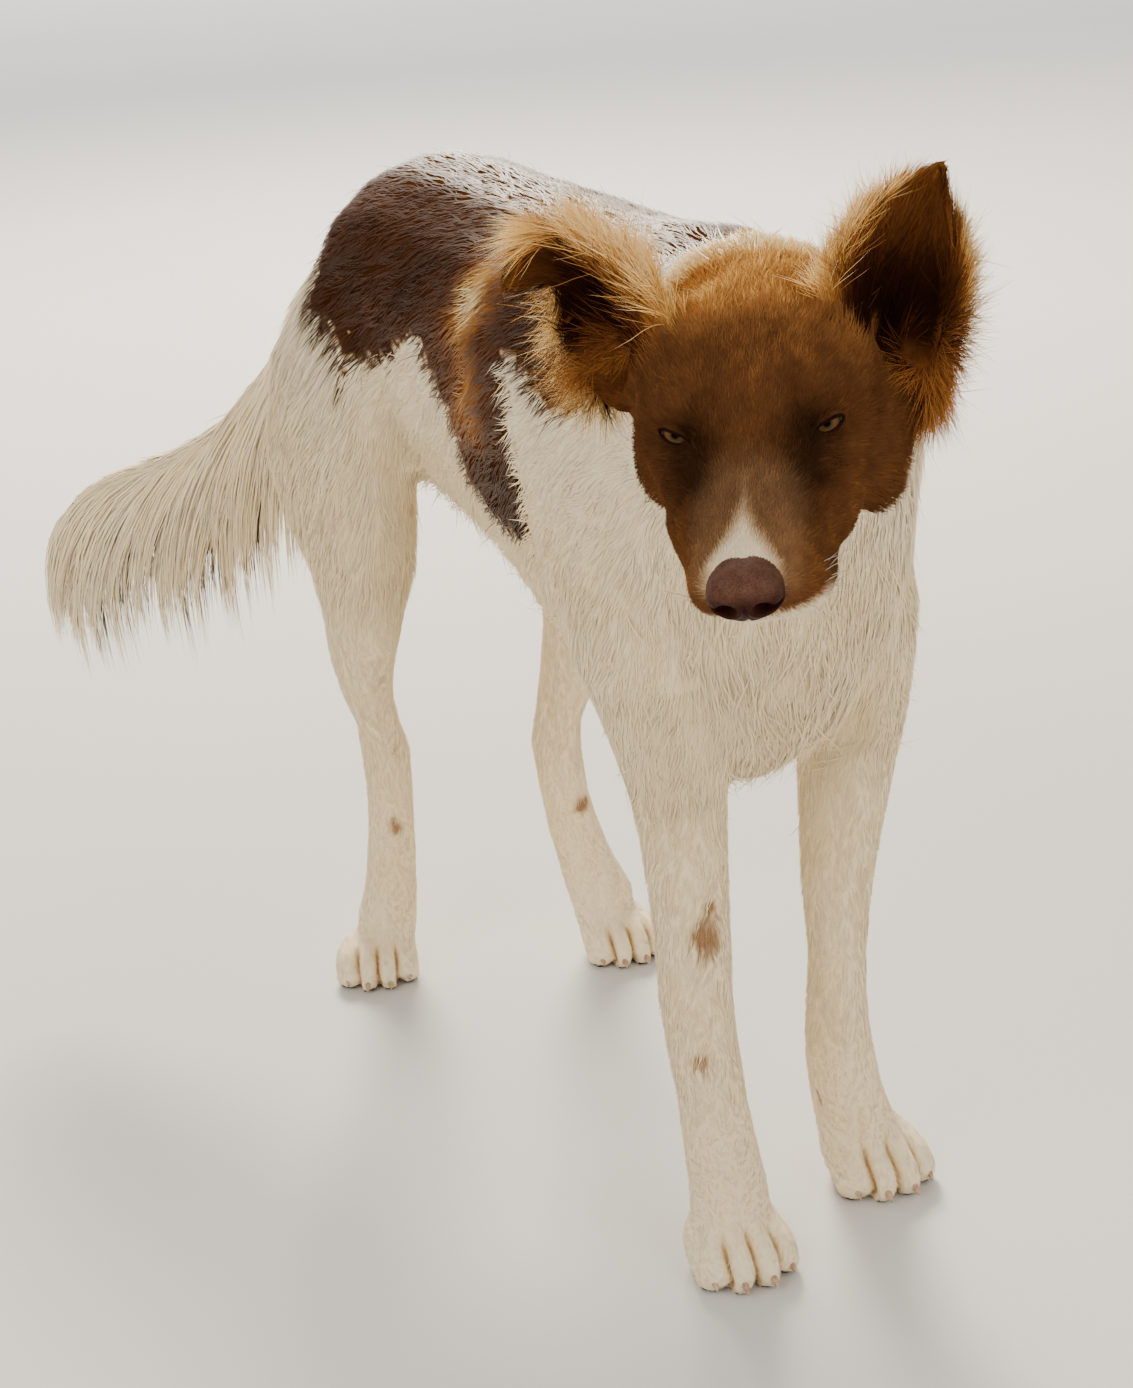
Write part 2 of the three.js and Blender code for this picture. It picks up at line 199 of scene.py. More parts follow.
class Part(Enum):
    """The lengths of the body, each of whose hair has its own lie and length."""

    TRUNK = 0
    NECK = 1
    HEAD = 2
    EAR_LEFT = 3
    EAR_RIGHT = 4
    TAIL = 5
    UPPER_ARM = 6
    FOREARM = 7
    FOREPAW = 8
    THIGH = 9
    SHANK = 10
    HINDPAW = 11


def part_of(node: str) -> Part:
    """The part of the dog that a solid belongs to.

    Args:
        node: the solid's name.

    Returns:
        The part.
    """
    whole = {"ear_left": Part.EAR_LEFT, "ear_right": Part.EAR_RIGHT}
    if node in whole:
        return whole[node]
    stem = node.removesuffix("_left").removesuffix("_right").split("_root")[0]
    stem = "tail" if stem.startswith("tail") else stem
    return Part[stem.upper()]


def among(parts: Array, *chosen: Part) -> Array:
    """Whether each point's part is one of those chosen."""
    return np.isin(parts, [part.value for part in chosen])


PAWS = (Part.FOREPAW, Part.HINDPAW)
LEGS = (Part.FOREARM, Part.SHANK)
BOTH_EARS = (Part.EAR_LEFT, Part.EAR_RIGHT)
THIGHS = (Part.THIGH, Part.UPPER_ARM)
FLESH = [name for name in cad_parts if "claw" not in name and name[:3] not in ("eye", "nos")]


@dataclass(frozen=True)
class HeadFrame:
    """The head's own frame: its origin midway between the pupils, -Y to the nose, +X its left."""

    at: tuple[float, float, float] = (-99.0, -386.8, 530.5)
    turn: float = -37.1
    nod: float = 12.7
    tilt: float = -3.9

    @property
    def axes(self) -> Array:
        """The frame's axes in the dog's frame.

        Returns:
            The three axes, one a column.
        """
        turned = Matrix.Rotation(math.radians(self.turn), 3, "Z")
        nodded = Matrix.Rotation(math.radians(self.nod), 3, "X")
        tilted = Matrix.Rotation(math.radians(self.tilt), 3, "Y")
        return np.array(turned @ nodded @ tilted)

    def inside(self, points: Array) -> Array:
        """Points of the dog's frame, metres, in the head's own frame, millimetres."""
        return (points / MM - np.array(self.at)) @ self.axes

    def outside(self, points: Array) -> Array:
        """Points of the head's own frame, millimetres, in the dog's frame, metres."""
        return (points @ self.axes.T + np.array(self.at)) * MM

    def ways(self, directions: Array) -> Array:
        """Directions of the head's own frame in the dog's frame."""
        return directions @ self.axes.T

    def ways_inside(self, directions: Array) -> Array:
        """Directions of the dog's frame in the head's own frame."""
        return directions @ self.axes


HEAD = HeadFrame()


@dataclass(frozen=True)
class Ear:
    """One ear: the line it is built along, its half widths, and the way its cup faces.

    `sag` is how far the hair of its rim falls. `trim` is how far its rim is drawn in towards the
    head's right and left, in millimetres, and `fluff` how far out the fringe starts on each.
    The hanging hair starts at `rooted` along it, and `floor` is how pale its cup's bottom is.
    """

    part: Part
    line: tuple[tuple[float, float, float], ...]
    half_widths: tuple[float, ...]
    cup: tuple[float, float, float]
    sag: float
    trim: tuple[float, float]
    fluff: tuple[float, float]
    rooted: float
    floor: float

    @property
    def course(self) -> Course:
        """The ear's line in the dog's frame."""
        return Course(HEAD.outside(np.array(self.line, float)))

    @property
    def faces(self) -> Array:
        """The way the cup faces, in the dog's frame."""
        return HEAD.ways(unit(np.array(self.cup)))

    def place(self, points: Array) -> tuple[Array, Array, Array, Array]:
        """Where points lie on the ear.

        Args:
            points: the points, metres.

        Returns:
            How far along it each lies, how far out to its rim, 0 to 1, the way out to that rim,
            and the ear's heading there.
        """
        share, nearest, heading = self.course.near(points)
        off = points - nearest
        lateral = off - dot(off, heading)[:, None] * heading
        lateral -= np.outer(lateral @ self.faces, self.faces)
        reach = np.linalg.norm(lateral, axis=1) / MM
        half = np.interp(share, np.linspace(0, 1, len(self.half_widths)), self.half_widths)
        outward = unit(lateral)
        half = half - self.trimmed(outward)
        leftward = self.leftward(outward) * ease(0.7, 0.5, share)
        start = self.fluff[0] + (self.fluff[1] - self.fluff[0]) * leftward
        return share, ease(0, 1, (reach / half - start) / (0.97 - start)), outward, heading

    @staticmethod
    def leftward(outward: Array) -> Array:
        """How far each way out to the rim leads to the head's left, 0 to 1."""
        return ease(-0.3, 0.3, outward @ HEAD.ways(np.array([1.0, 0.0, 0.0])))

    def trimmed(self, outward: Array) -> Array:
        """How far the rim is drawn in for its fringe along each way out to it, in millimetres."""
        return self.trim[0] + (self.trim[1] - self.trim[0]) * self.leftward(outward)

    def outer(self, outward: Array) -> Array:
        """How far each way out to the rim leads away from the head, 0 to 1."""
        side = math.copysign(1.0, self.line[0][0])
        return ease(-0.3, 0.4, outward @ HEAD.ways(np.array([side, 0.0, 0.0])))

    def base(self, share: Array, outward: Array) -> Array:
        """How near places on the ear are to its outer base, where the hair hangs, 0 to 1."""
        low = ease(0.45, 0.2, share) * ease(self.rooted, self.rooted + 0.1, share)
        return 0.7 * self.outer(outward) * low

    def tufted(self, share: Array, rim: Array, outward: Array) -> Array:
        """How near places on the ear are to its longest hair, 0 to 1.

        It hangs from the lower edge of the folded ear and from the outer base of both.

        Args:
            share: how far along the ear each place is.
            rim: how near its rim each is.
            outward: the way out to the rim from each.

        Returns:
            The nearness of each place.
        """
        lower = rim * ease(0.0, 0.6, outward @ DOWN) * ease(0.75, 0.6, share)
        lower = lower * (self.part is Part.EAR_RIGHT)
        return np.maximum(lower, self.base(share, outward))


EARS = (
    Ear(Part.EAR_LEFT, ((60, 46, -22), (55, 57, 3), (61, 65, 29), (71, 71, 51), (80, 77, 71)),
        half_widths=(24, 37, 37, 28, 12), cup=(0.35, -0.94, 0.0), sag=0.1,
        trim=(2.0, 8.0), fluff=(0.6, 0.3), rooted=-0.1, floor=0.0),
    Ear(Part.EAR_RIGHT, ((-44, 50, 0), (-57, 60, 26), (-70, 68, 46), (-88, 74, 50), (-103, 75, 37)),
        half_widths=(30, 39, 32, 18, 9), cup=(-0.35, -0.8, -0.5), sag=0.35,
        trim=(2.0, 2.0), fluff=(0.68, 0.6), rooted=0.06, floor=0.42),
)
TAIL = Course(MM * np.array([
    (45, 240, 486), (44, 268, 474), (36, 288, 450), (4, 316, 402),
    (-30, 344, 358), (-62, 380, 330), (-92, 416, 314), (-114, 442, 296)], float))


# ---- Meshes ----

@dataclass
class Surface:
    """A closed triangle surface with fields over its points."""

    points: Array
    triangles: Array
    _edges: Array | None = None

    @property
    def edges(self) -> Array:
        """The edges of the triangles, found when they are first asked for.

        Returns:
            Each edge once, as a pair of points.
        """
        if self._edges is None:
            t = self.triangles
            pairs = np.sort(np.concatenate([t[:, [0, 1]], t[:, [1, 2]], t[:, [2, 0]]]), axis=1)
            keys = np.unique(pairs[:, 0].astype(np.int64) * len(self.points) + pairs[:, 1])
            self._edges = np.stack([keys // len(self.points), keys % len(self.points)], 1)
        return self._edges

    def crossed(self) -> Array:
        """The normal of each triangle, as long as twice its area."""
        corners = self.points[self.triangles]
        return np.cross(corners[:, 1] - corners[:, 0], corners[:, 2] - corners[:, 0])

    def normals(self) -> Array:
        """The smooth normals.

        Returns:
            The normal at each point, at length one.
        """
        faces = self.crossed()
        total = np.zeros_like(self.points)
        for corner in self.triangles.T:
            for axis in range(3):
                total[:, axis] += np.bincount(corner, faces[:, axis], len(self.points))
        return unit(total)

    def areas(self) -> Array:
        """The area of each triangle."""
        return np.linalg.norm(self.crossed(), axis=1) / 2

    def averaged(self, values: Array) -> Array:
        """Smooths a field by one step.

        Args:
            values: the field, a row for each point.

        Returns:
            The mean of the field over each point's neighbours.
        """
        a, b = self.edges.T
        count = len(self.points)
        flat = values.reshape(count, -1)
        total = np.empty_like(flat)
        for column in range(flat.shape[1]):
            total[:, column] = np.bincount(a, flat[b, column], count)
            total[:, column] += np.bincount(b, flat[a, column], count)
        share = np.bincount(a, minlength=count) + np.bincount(b, minlength=count)
        return (total / np.maximum(share, 1)[:, None]).reshape(values.shape)

    def spread(self, values: Array, rounds: int) -> Array:
        """Smooths a field over the surface.

        Args:
            values: the field.
            rounds: how many times it is averaged.

        Returns:
            The smoothed field.
        """
        for _ in range(rounds):
            values = 0.4 * values + 0.6 * self.averaged(values)
        return values

    def relax(self, strength: Array, rounds: int) -> None:
        """Smooths the shape without shrinking it.

        Args:
            strength: how much each point may move, 0 to 1.
            rounds: how many times the pair of inward and outward steps is taken.
        """
        inward, outward = 0.5, -0.52
        for _ in range(rounds):
            for step in (inward, outward):
                pull = self.averaged(self.points) - self.points
                self.points = self.points + step * strength[:, None] * pull


def mesh_object(name: str, points: Array, faces: Array) -> Piece:
    """A linked object with a mesh of triangles or quads.

    Args:
        name: the piece's name.
        points: the mesh's points, metres.
        faces: the faces, all with as many corners.

    Returns:
        The object, smooth shaded.
    """
    mesh = bpy.data.meshes.new(name)
    corners = faces.shape[1]
    mesh.vertices.add(len(points))
    mesh.vertices.foreach_set("co", points.astype(np.float32).ravel())
    mesh.loops.add(faces.size)
    mesh.loops.foreach_set("vertex_index", faces.astype(np.int32).ravel())
    mesh.polygons.add(len(faces))
    mesh.polygons.foreach_set("loop_start", np.arange(0, faces.size, corners, dtype=np.int32))
    mesh.update(calc_edges=True)
    mesh.shade_smooth()
    piece = bpy.data.objects.new(name, mesh)
    bpy.context.scene.collection.objects.link(piece)
    return piece


def set_field(mesh: bpy.types.Mesh, name: str, values: Array) -> None:
    """Stores a number for each of the mesh's points under a name its material reads."""
    mesh.attributes.new(name, "FLOAT", "POINT").data.foreach_set("value", values.astype(np.float32))


def read_mesh(mesh: bpy.types.Mesh) -> Surface:
    """Reads a mesh as triangles.

    Args:
        mesh: the mesh.

    Returns:
        Its surface.
    """
    mesh.calc_loop_triangles()
    points = np.empty(len(mesh.vertices) * 3)
    mesh.vertices.foreach_get("co", points)
    triangles = np.empty(len(mesh.loop_triangles) * 3, np.int32)
    mesh.loop_triangles.foreach_get("vertices", triangles)
    return Surface(points.reshape(-1, 3), triangles.reshape(-1, 3))


def shown(piece: Piece, finish: Material,
          replaces: Iterable[str] = ()) -> None:
    """Dresses a finished piece, and ties it to the body and to the solids it stands for.

    Args:
        piece: the piece.
        finish: its material.
        replaces: the names of the solids it stands for.
    """
    piece.data.materials.append(finish)
    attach(piece, BODY)
    if replaces:
        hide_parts(*replaces)
    LOG.info("%s: %d faces", piece.name, len(piece.data.polygons))


def tube(line: Array, radii: Array, sides: int = 10) -> Body:
    """A closed round tube along a line, with a point at each end.

    Args:
        line: the points of its axis.
        radii: its radius at each of them.
        sides: how many sides it has.

    Returns:
        Its points and its triangles.
    """
    heading = unit(np.gradient(line, axis=0))
    across = flattened(np.tile([[0.13, 0.31, 0.94]], (len(line), 1)), heading)
    over = np.cross(heading, across)
    angle = np.linspace(0, 2 * math.pi, sides, endpoint=False)[None, :, None]
    rings = line[:, None] + radii[:, None, None] * (
        np.cos(angle) * across[:, None] + np.sin(angle) * over[:, None])
    points = np.concatenate([rings.reshape(-1, 3), line[:1], line[-1:]])
    return points, globe_faces(len(line), sides)


def globe_faces(rings: int, sides: int) -> Array:
    """The triangles of a globe or a tube.

    Args:
        rings: how many rings of points it has.
        sides: how many points each ring has.

    Returns:
        The triangles, for points that run ring by ring and end with the two poles.
    """
    faces = []
    for ring in range(rings - 1):
        for k in range(sides):
            a, b = ring * sides + k, ring * sides + (k + 1) % sides
            faces += [(a, b, b + sides), (a, b + sides, a + sides)]
    first, last, end = rings * sides, rings * sides + 1, (rings - 1) * sides
    for k in range(sides):
        following = (k + 1) % sides
        faces += [(first, following, k), (last, end + k, end + following)]
    return np.array(faces)


def globe(rings: int, sides: int) -> tuple[Array, Array, Array, Array]:
    """A unit globe about the Y axis, whose poles come last.

    Args:
        rings: how many bands it has from pole to pole.
        sides: how many sides it has.

    Returns:
        The angle of each point from the first pole and round the axis, in radians, the points,
        and the triangles.
    """
    theta = np.repeat(np.linspace(0, math.pi, rings + 1)[1:-1], sides)
    phi = np.tile(np.linspace(0, 2 * math.pi, sides, endpoint=False), rings - 1)
    theta, phi = np.append(theta, [0.0, math.pi]), np.append(phi, [0.0, 0.0])
    points = np.stack([np.sin(theta) * np.cos(phi), np.cos(theta), np.sin(theta) * np.sin(phi)], 1)
    return theta, phi, points, globe_faces(rings - 1, sides)


def merged(parts: Sequence[Body]) -> Body:
    """Joins several bodies.

    Args:
        parts: the points and faces of each.

    Returns:
        One list of points and one of faces.
    """
    offsets = np.cumsum([0] + [len(points) for points, _ in parts[:-1]])
    faces = [faces + offset for (_, faces), offset in zip(parts, offsets)]
    return np.concatenate([points for points, _ in parts]), np.concatenate(faces)


def oriented(points: Array, triangles: Array) -> Array:
    """Turns the triangles of one closed body so that they face out.

    Args:
        points: its points.
        triangles: its triangles, all turned alike.

    Returns:
        The triangles, turned over if need be.
    """
    a, b, c = (points[triangles[:, k]] for k in range(3))
    volume = dot(np.cross(a, b), c).sum()
    return triangles if volume > 0 else triangles[:, ::-1]


def solid_tree(names: Iterable[str]) -> tuple[BVHTree, list[str]]:
    """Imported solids, made ready for searching.

    Args:
        names: the solids' names.

    Returns:
        One tree of all their triangles, and the name of the solid that each triangle is of.
    """
    bodies, owners = [], []
    for name in names:
        body = read_mesh(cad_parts[name].data)
        bodies.append((body.points, body.triangles))
        owners += [name] * len(body.triangles)
    points, faces = merged(bodies)
    return BVHTree.FromPolygons(points.tolist(), faces.tolist()), owners


# ---- Materials ----

class Graph:
    """A hand for wiring one node tree."""

    def __init__(self, tree: NodeTree) -> None:
        self.tree = tree

    def node(self, kind: str, **settings: object) -> bpy.types.Node:
        """Adds a node.

        Args:
            kind: the node's type.
            settings: its properties.

        Returns:
            The node.
        """
        made = self.tree.nodes.new(kind)
        for name, value in settings.items():
            setattr(made, name, value)
        return made

    def feed(self, socket: Socket, value: object) -> None:
        """Links a socket to another, or sets its plain value.

        Args:
            socket: the socket fed.
            value: the other socket, a number or a colour.
        """
        if isinstance(value, Socket):
            self.tree.links.new(value, socket)
        elif isinstance(value, tuple):
            socket.default_value = (*value, 1.0) if len(socket.default_value) == 4 else value
        else:
            socket.default_value = value

    def field(self, name: str) -> Socket:
        """The number that the mesh stores under a name."""
        return self.node("ShaderNodeAttribute", attribute_name=name).outputs["Fac"]

    def reckon(self, operation: str, a: object, b: object) -> Socket:
        """One arithmetic step, kept between 0 and 1.

        Args:
            operation: what is done.
            a: the first number.
            b: the second.

        Returns:
            The result.
        """
        made = self.node("ShaderNodeMath", operation=operation, use_clamp=True)
        self.feed(made.inputs[0], a)
        self.feed(made.inputs[1], b)
        return made.outputs[0]

    def plus(self, a: object, b: object) -> Socket:
        """The sum of two numbers, at most 1."""
        return self.reckon("ADD", a, b)

    def less(self, a: object, b: object) -> Socket:
        """The first number less the second, at least 0."""
        return self.reckon("SUBTRACT", a, b)

    def times(self, a: object, b: object) -> Socket:
        """The product of two numbers."""
        return self.reckon("MULTIPLY", a, b)

    def blend(self, share: object, a: object, b: object) -> Socket:
        """Mixes two colours.

        Args:
            share: the share of the second colour.
            a: the first colour.
            b: the second colour.

        Returns:
            The mixture.
        """
        made = self.node("ShaderNodeMix", data_type="RGBA", blend_type="MIX")
        self.feed(made.inputs["Factor"], share)
        self.feed(made.inputs[6], a)
        self.feed(made.inputs[7], b)
        return made.outputs[2]

    def ramp(self, value: object, *stops: Stop) -> Socket:
        """Turns a number into a colour.

        Args:
            value: the number, 0 to 1.
            stops: the numbers that have a given colour, lowest first.

        Returns:
            The colour.
        """
        made = self.node("ShaderNodeValToRGB")
        elements = made.color_ramp.elements
        while len(elements) < len(stops):
            elements.new(1.0)
        for element, (place, colour) in zip(elements, stops):
            element.position = place
            element.color = (*colour, 1.0)
        self.feed(made.inputs["Fac"], value)
        return made.outputs["Color"]

    def texture(self, kind: str, **sockets: float) -> bpy.types.Node:
        """A solid texture in the object's own coordinates.

        Args:
            kind: the texture node's type.
            sockets: its plain values; Scale is in features to the metre.

        Returns:
            The node.
        """
        made = self.node(kind)
        for name, value in sockets.items():
            self.feed(made.inputs[name], value)
        self.feed(made.inputs["Vector"], self.node("ShaderNodeTexCoord").outputs["Object"])
        return made

    def noise(self, scale: float, detail: float = 3.0) -> Socket:
        """Cloudy noise with so many clouds to the metre."""
        return self.texture("ShaderNodeTexNoise", Scale=scale, Detail=detail).outputs["Fac"]

    def cells(self, scale: float) -> Socket:
        """The distance to the nearest of many scattered points, for pebbled leather."""
        return self.texture("ShaderNodeTexVoronoi", Scale=scale).outputs["Distance"]

    def bump(self, height: object, distance: float, strength: float = 1.0) -> Socket:
        """Bends the normal by a height.

        Args:
            height: the height, 0 to 1.
            distance: how far a height of 1 stands out, metres.
            strength: how much of the bend shows, 0 to 1.

        Returns:
            The bent normal.
        """
        made = self.node("ShaderNodeBump")
        self.feed(made.inputs["Strength"], strength)
        self.feed(made.inputs["Distance"], distance)
        self.feed(made.inputs["Height"], height)
        return made.outputs["Normal"]


class Finish(Graph):
    """A material with a Principled shader, and a hand for its tree."""

    def __init__(self, name: str, **sockets: object) -> None:
        self.made = bpy.data.materials.new(name)
        self.made.use_nodes = True
        super().__init__(self.made.node_tree)
        self.dress(**sockets)

    def dress(self, **sockets: object) -> Material:
        """Feeds the shader.

        Args:
            sockets: a value or a socket for each of its inputs, with underscores for spaces.

        Returns:
            The material.
        """
        shader = self.tree.nodes["Principled BSDF"]
        for socket, value in sockets.items():
            self.feed(shader.inputs[socket.replace("_", " ")], value)
        return self.made

    def marked(self, group: NodeTree) -> tuple[Socket, Socket]:
        """Places the shared group of the markings.

        Args:
            group: the group.

        Returns:
            Its colour and its roughness, from the liver and the tone that the mesh stores.
        """
        marks = self.node("ShaderNodeGroup", node_tree=group)
        self.feed(marks.inputs["Liver"], self.field("liver"))
        self.feed(marks.inputs["Tone"], self.field("tone"))
        return marks.outputs["Colour"], marks.outputs["Roughness"]


def new_group(name: str, inputs: dict[str, float], outputs: dict[str, str]) -> NodeTree:
    """An empty shader group.

    Args:
        name: its name.
        inputs: the plain value of each of its number inputs.
        outputs: the socket type of each of its outputs.

    Returns:
        The group.
    """
    group = bpy.data.node_groups.new(name, "ShaderNodeTree")
    for label, value in inputs.items():
        socket = group.interface.new_socket(label, in_out="INPUT", socket_type="NodeSocketFloat")
        socket.default_value = value
    for label, kind in outputs.items():
        group.interface.new_socket(label, in_out="OUTPUT", socket_type=kind)
    return group


@dataclass(frozen=True)
class HairColours:
    """The colours of the coat, from its darkest hair to its palest."""

    liver: tuple[Stop, ...] = (
        (0.0, (0.006, 0.0022, 0.0012)),
        (0.25, (0.026, 0.0078, 0.0030)),
        (0.5, (0.112, 0.038, 0.0105)),
        (0.7, (0.30, 0.115, 0.026)),
        (0.86, (0.74, 0.42, 0.12)),
        (1.0, (0.96, 0.78, 0.46)),
    )
    white: tuple[Stop, ...] = (
        (0.0, (0.34, 0.18, 0.08)),
        (0.3, (0.64, 0.43, 0.22)),
        (0.6, (0.94, 0.75, 0.46)),
        (1.0, (0.99, 0.90, 0.70)),
    )

    def group(self) -> NodeTree:
        """Makes the shared group that colours skin and coat alike from the markings.

        Returns:
            The group.
        """
        group = new_group("coat_markings", {"Liver": 0.0, "Tone": 0.5}, {
            "Colour": "NodeSocketColor", "Roughness": "NodeSocketFloat"})
        graph = Graph(group)
        given = graph.node("NodeGroupInput").outputs
        result = graph.node("NodeGroupOutput").inputs
        streak = graph.times(graph.noise(900.0, 2.0), 0.06)
        tone = graph.less(graph.plus(given["Tone"], streak), 0.03)
        liver, white = graph.ramp(tone, *self.liver), graph.ramp(tone, *self.white)
        graph.feed(result["Colour"], graph.blend(given["Liver"], white, liver))
        graph.feed(result["Roughness"], graph.less(0.62, graph.times(given["Liver"], 0.12)))
        return group


@dataclass(frozen=True)
class HairFinish:
    """Soft hair coloured by the markings.

    `gloss` is how strongly it shines, and `glow` how strongly it gives off its own colour as
    light: a painted glow that stands in for light shining through thin fringes.
    """

    name: str
    gloss: float = 0.0
    glow: float = 0.0
    tint: Colour = (1.0, 0.88, 0.74)

    def material(self, group: NodeTree) -> Material:
        """Makes the material.

        Args:
            group: the shared group of the markings.

        Returns:
            The material.
        """
        paint = Finish(
            self.name, Specular_IOR_Level=self.gloss, Specular_Tint=self.tint,
            Emission_Strength=self.glow)
        colour, rough = paint.marked(group)
        # Painted glow: the hair gives off its own colour as light.
        if self.glow > 0:
            paint.dress(Emission_Color=colour)
        return paint.dress(Base_Color=colour, Roughness=rough)


@dataclass(frozen=True)
class SkinFinish:
    """Skin under the hair: the same markings, dark where it is bare, with fine hair in bump."""

    leather: tuple[Stop, ...] = ((0.3, (0.016, 0.0065, 0.0045)), (0.7, (0.042, 0.017, 0.012)))

    def material(self, group: NodeTree) -> Material:
        """Makes the material.

        Args:
            group: the shared group of the markings.

        Returns:
            The material.
        """
        paint = Finish("skin", Specular_IOR_Level=0.0)
        colour, rough = paint.marked(group)
        leather = paint.ramp(paint.noise(260.0), *self.leather)
        return paint.dress(
            Base_Color=paint.blend(paint.field("bare"), colour, leather),
            Roughness=paint.less(rough, paint.times(paint.field("bare"), 0.2)),
            Normal=paint.bump(paint.noise(1500.0, 4.0), 0.0006))


@dataclass(frozen=True)
class LeatherFinish:
    """Bare pebbled skin: its colours in the folds and on the pebbles, and how moist it is."""

    name: str
    dark: Colour
    pale: Colour
    wet: float = 0.0

    def material(self) -> Material:
        """Makes the material.

        Returns:
            The material, darker by the painted shade that the mesh stores as hollow.
        """
        paint = Finish(self.name, Specular_IOR_Level=0.4 * self.wet, Coat_Roughness=0.3)
        pebbles = paint.less(1.0, paint.times(paint.cells(1900.0), 0.7))
        mottle = paint.times(pebbles, paint.plus(paint.noise(240.0), 0.35))
        # The stored hollow darkens the leather: painted shade.
        depth = paint.times(mottle, paint.less(1.0, paint.field("hollow")))
        return paint.dress(
            Base_Color=paint.ramp(depth, (0.0, self.dark), (0.75, self.pale)),
            Roughness=paint.plus(paint.times(pebbles, 0.12), 0.45),
            Coat_Weight=paint.times(paint.noise(90.0), self.wet),
            Normal=paint.bump(pebbles, 0.0003, 0.5))


@dataclass(frozen=True)
class EyeFinish:
    """A dark pupil, a hazel iris with fine spokes and a dark edge, and brownish white beyond."""

    rings: tuple[Stop, ...] = (
        (0.00, (0.002, 0.0015, 0.001)),
        (0.042, (0.003, 0.002, 0.0015)),
        (0.056, (0.060, 0.034, 0.013)),
        (0.10, (0.108, 0.064, 0.026)),
        (0.155, (0.070, 0.040, 0.016)),
        (0.185, (0.012, 0.006, 0.004)),
        (0.22, (0.20, 0.125, 0.085)),
        (0.5, (0.25, 0.16, 0.12)),
    )

    def material(self) -> Material:
        """Makes the material.

        Returns:
            The material, coloured by the distance from the pupil that the mesh stores.
        """
        paint = Finish(
            "eye", Roughness=0.5, Specular_IOR_Level=0.0, Coat_Weight=0.035, Coat_Roughness=0.06)
        across = paint.plus(paint.field("ring"), paint.times(paint.field("spoke"), 0.008))
        return paint.dress(Base_Color=paint.ramp(across, *self.rings))


@dataclass(frozen=True)
class HornFinish:
    """Pale translucent-looking horn with faint growth marks."""

    growth: tuple[Stop, ...] = (
        (0.3, (0.30, 0.17, 0.10)), (0.55, (0.50, 0.33, 0.21)), (0.8, (0.64, 0.48, 0.34)))

    def material(self) -> Material:
        """Makes the material.

        Returns:
            The material.
        """
        paint = Finish("horn", Specular_IOR_Level=0.35)
        cloud = paint.noise(420.0)
        return paint.dress(
            Base_Color=paint.ramp(cloud, *self.growth),
            Roughness=paint.plus(paint.times(cloud, 0.2), 0.28),
            Normal=paint.bump(paint.noise(1800.0), 0.0002))


@dataclass(frozen=True)
class WhiskerFinish:
    """Stiff single hairs, paler towards the tip."""

    root: Colour = (0.10, 0.05, 0.03)
    tip: Colour = (0.75, 0.66, 0.55)

    def material(self) -> Material:
        """Makes the material."""
        paint = Finish("whisker", Roughness=0.4, Specular_IOR_Level=0.5)
        return paint.dress(Base_Color=paint.ramp(paint.field("tone"), (0.0, self.root), (1.0, self.tip)))


@dataclass(frozen=True)
class FloorFinish:
    """A plain pale studio floor with the faintest cloud in it."""

    dark: Colour = (0.66, 0.655, 0.64)
    pale: Colour = (0.69, 0.685, 0.67)

    def material(self) -> Material:
        """Makes the material."""
        paint = Finish("studio_floor", Roughness=0.9, Specular_IOR_Level=0.1)
        return paint.dress(Base_Color=paint.ramp(paint.noise(1.2), (0.3, self.dark), (0.7, self.pale)))


@dataclass(frozen=True)
class Finishes:
    """Every material of the dog."""

    hair: Material
    fine_hair: Material
    fringe: Material
    skin: Material
    nose: Material
    rim: Material
    eye: Material
    horn: Material
    whisker: Material

    @classmethod
    def made(cls) -> "Finishes":
        """Makes every material once.

        Returns:
            The materials.
        """
        markings = HairColours().group()
        nose = LeatherFinish("nose_leather", (0.024, 0.0050, 0.0032), (0.125, 0.060, 0.040), 0.07)
        rim = LeatherFinish("lid_rim", (0.006, 0.0022, 0.0014), (0.022, 0.008, 0.005))
        return cls(
            hair=HairFinish("hair", gloss=0.34).material(markings),
            fine_hair=HairFinish("fine_hair").material(markings),
            # The fringe has a painted glow of its own colour.
            fringe=HairFinish("fringe", glow=0.42).material(markings),
            skin=SkinFinish().material(markings),
            nose=nose.material(),
            rim=rim.material(),
            eye=EyeFinish().material(),
            horn=HornFinish().material(),
            whisker=WhiskerFinish().material(),
        )


# ---- The eyes, whose places the lids follow ----

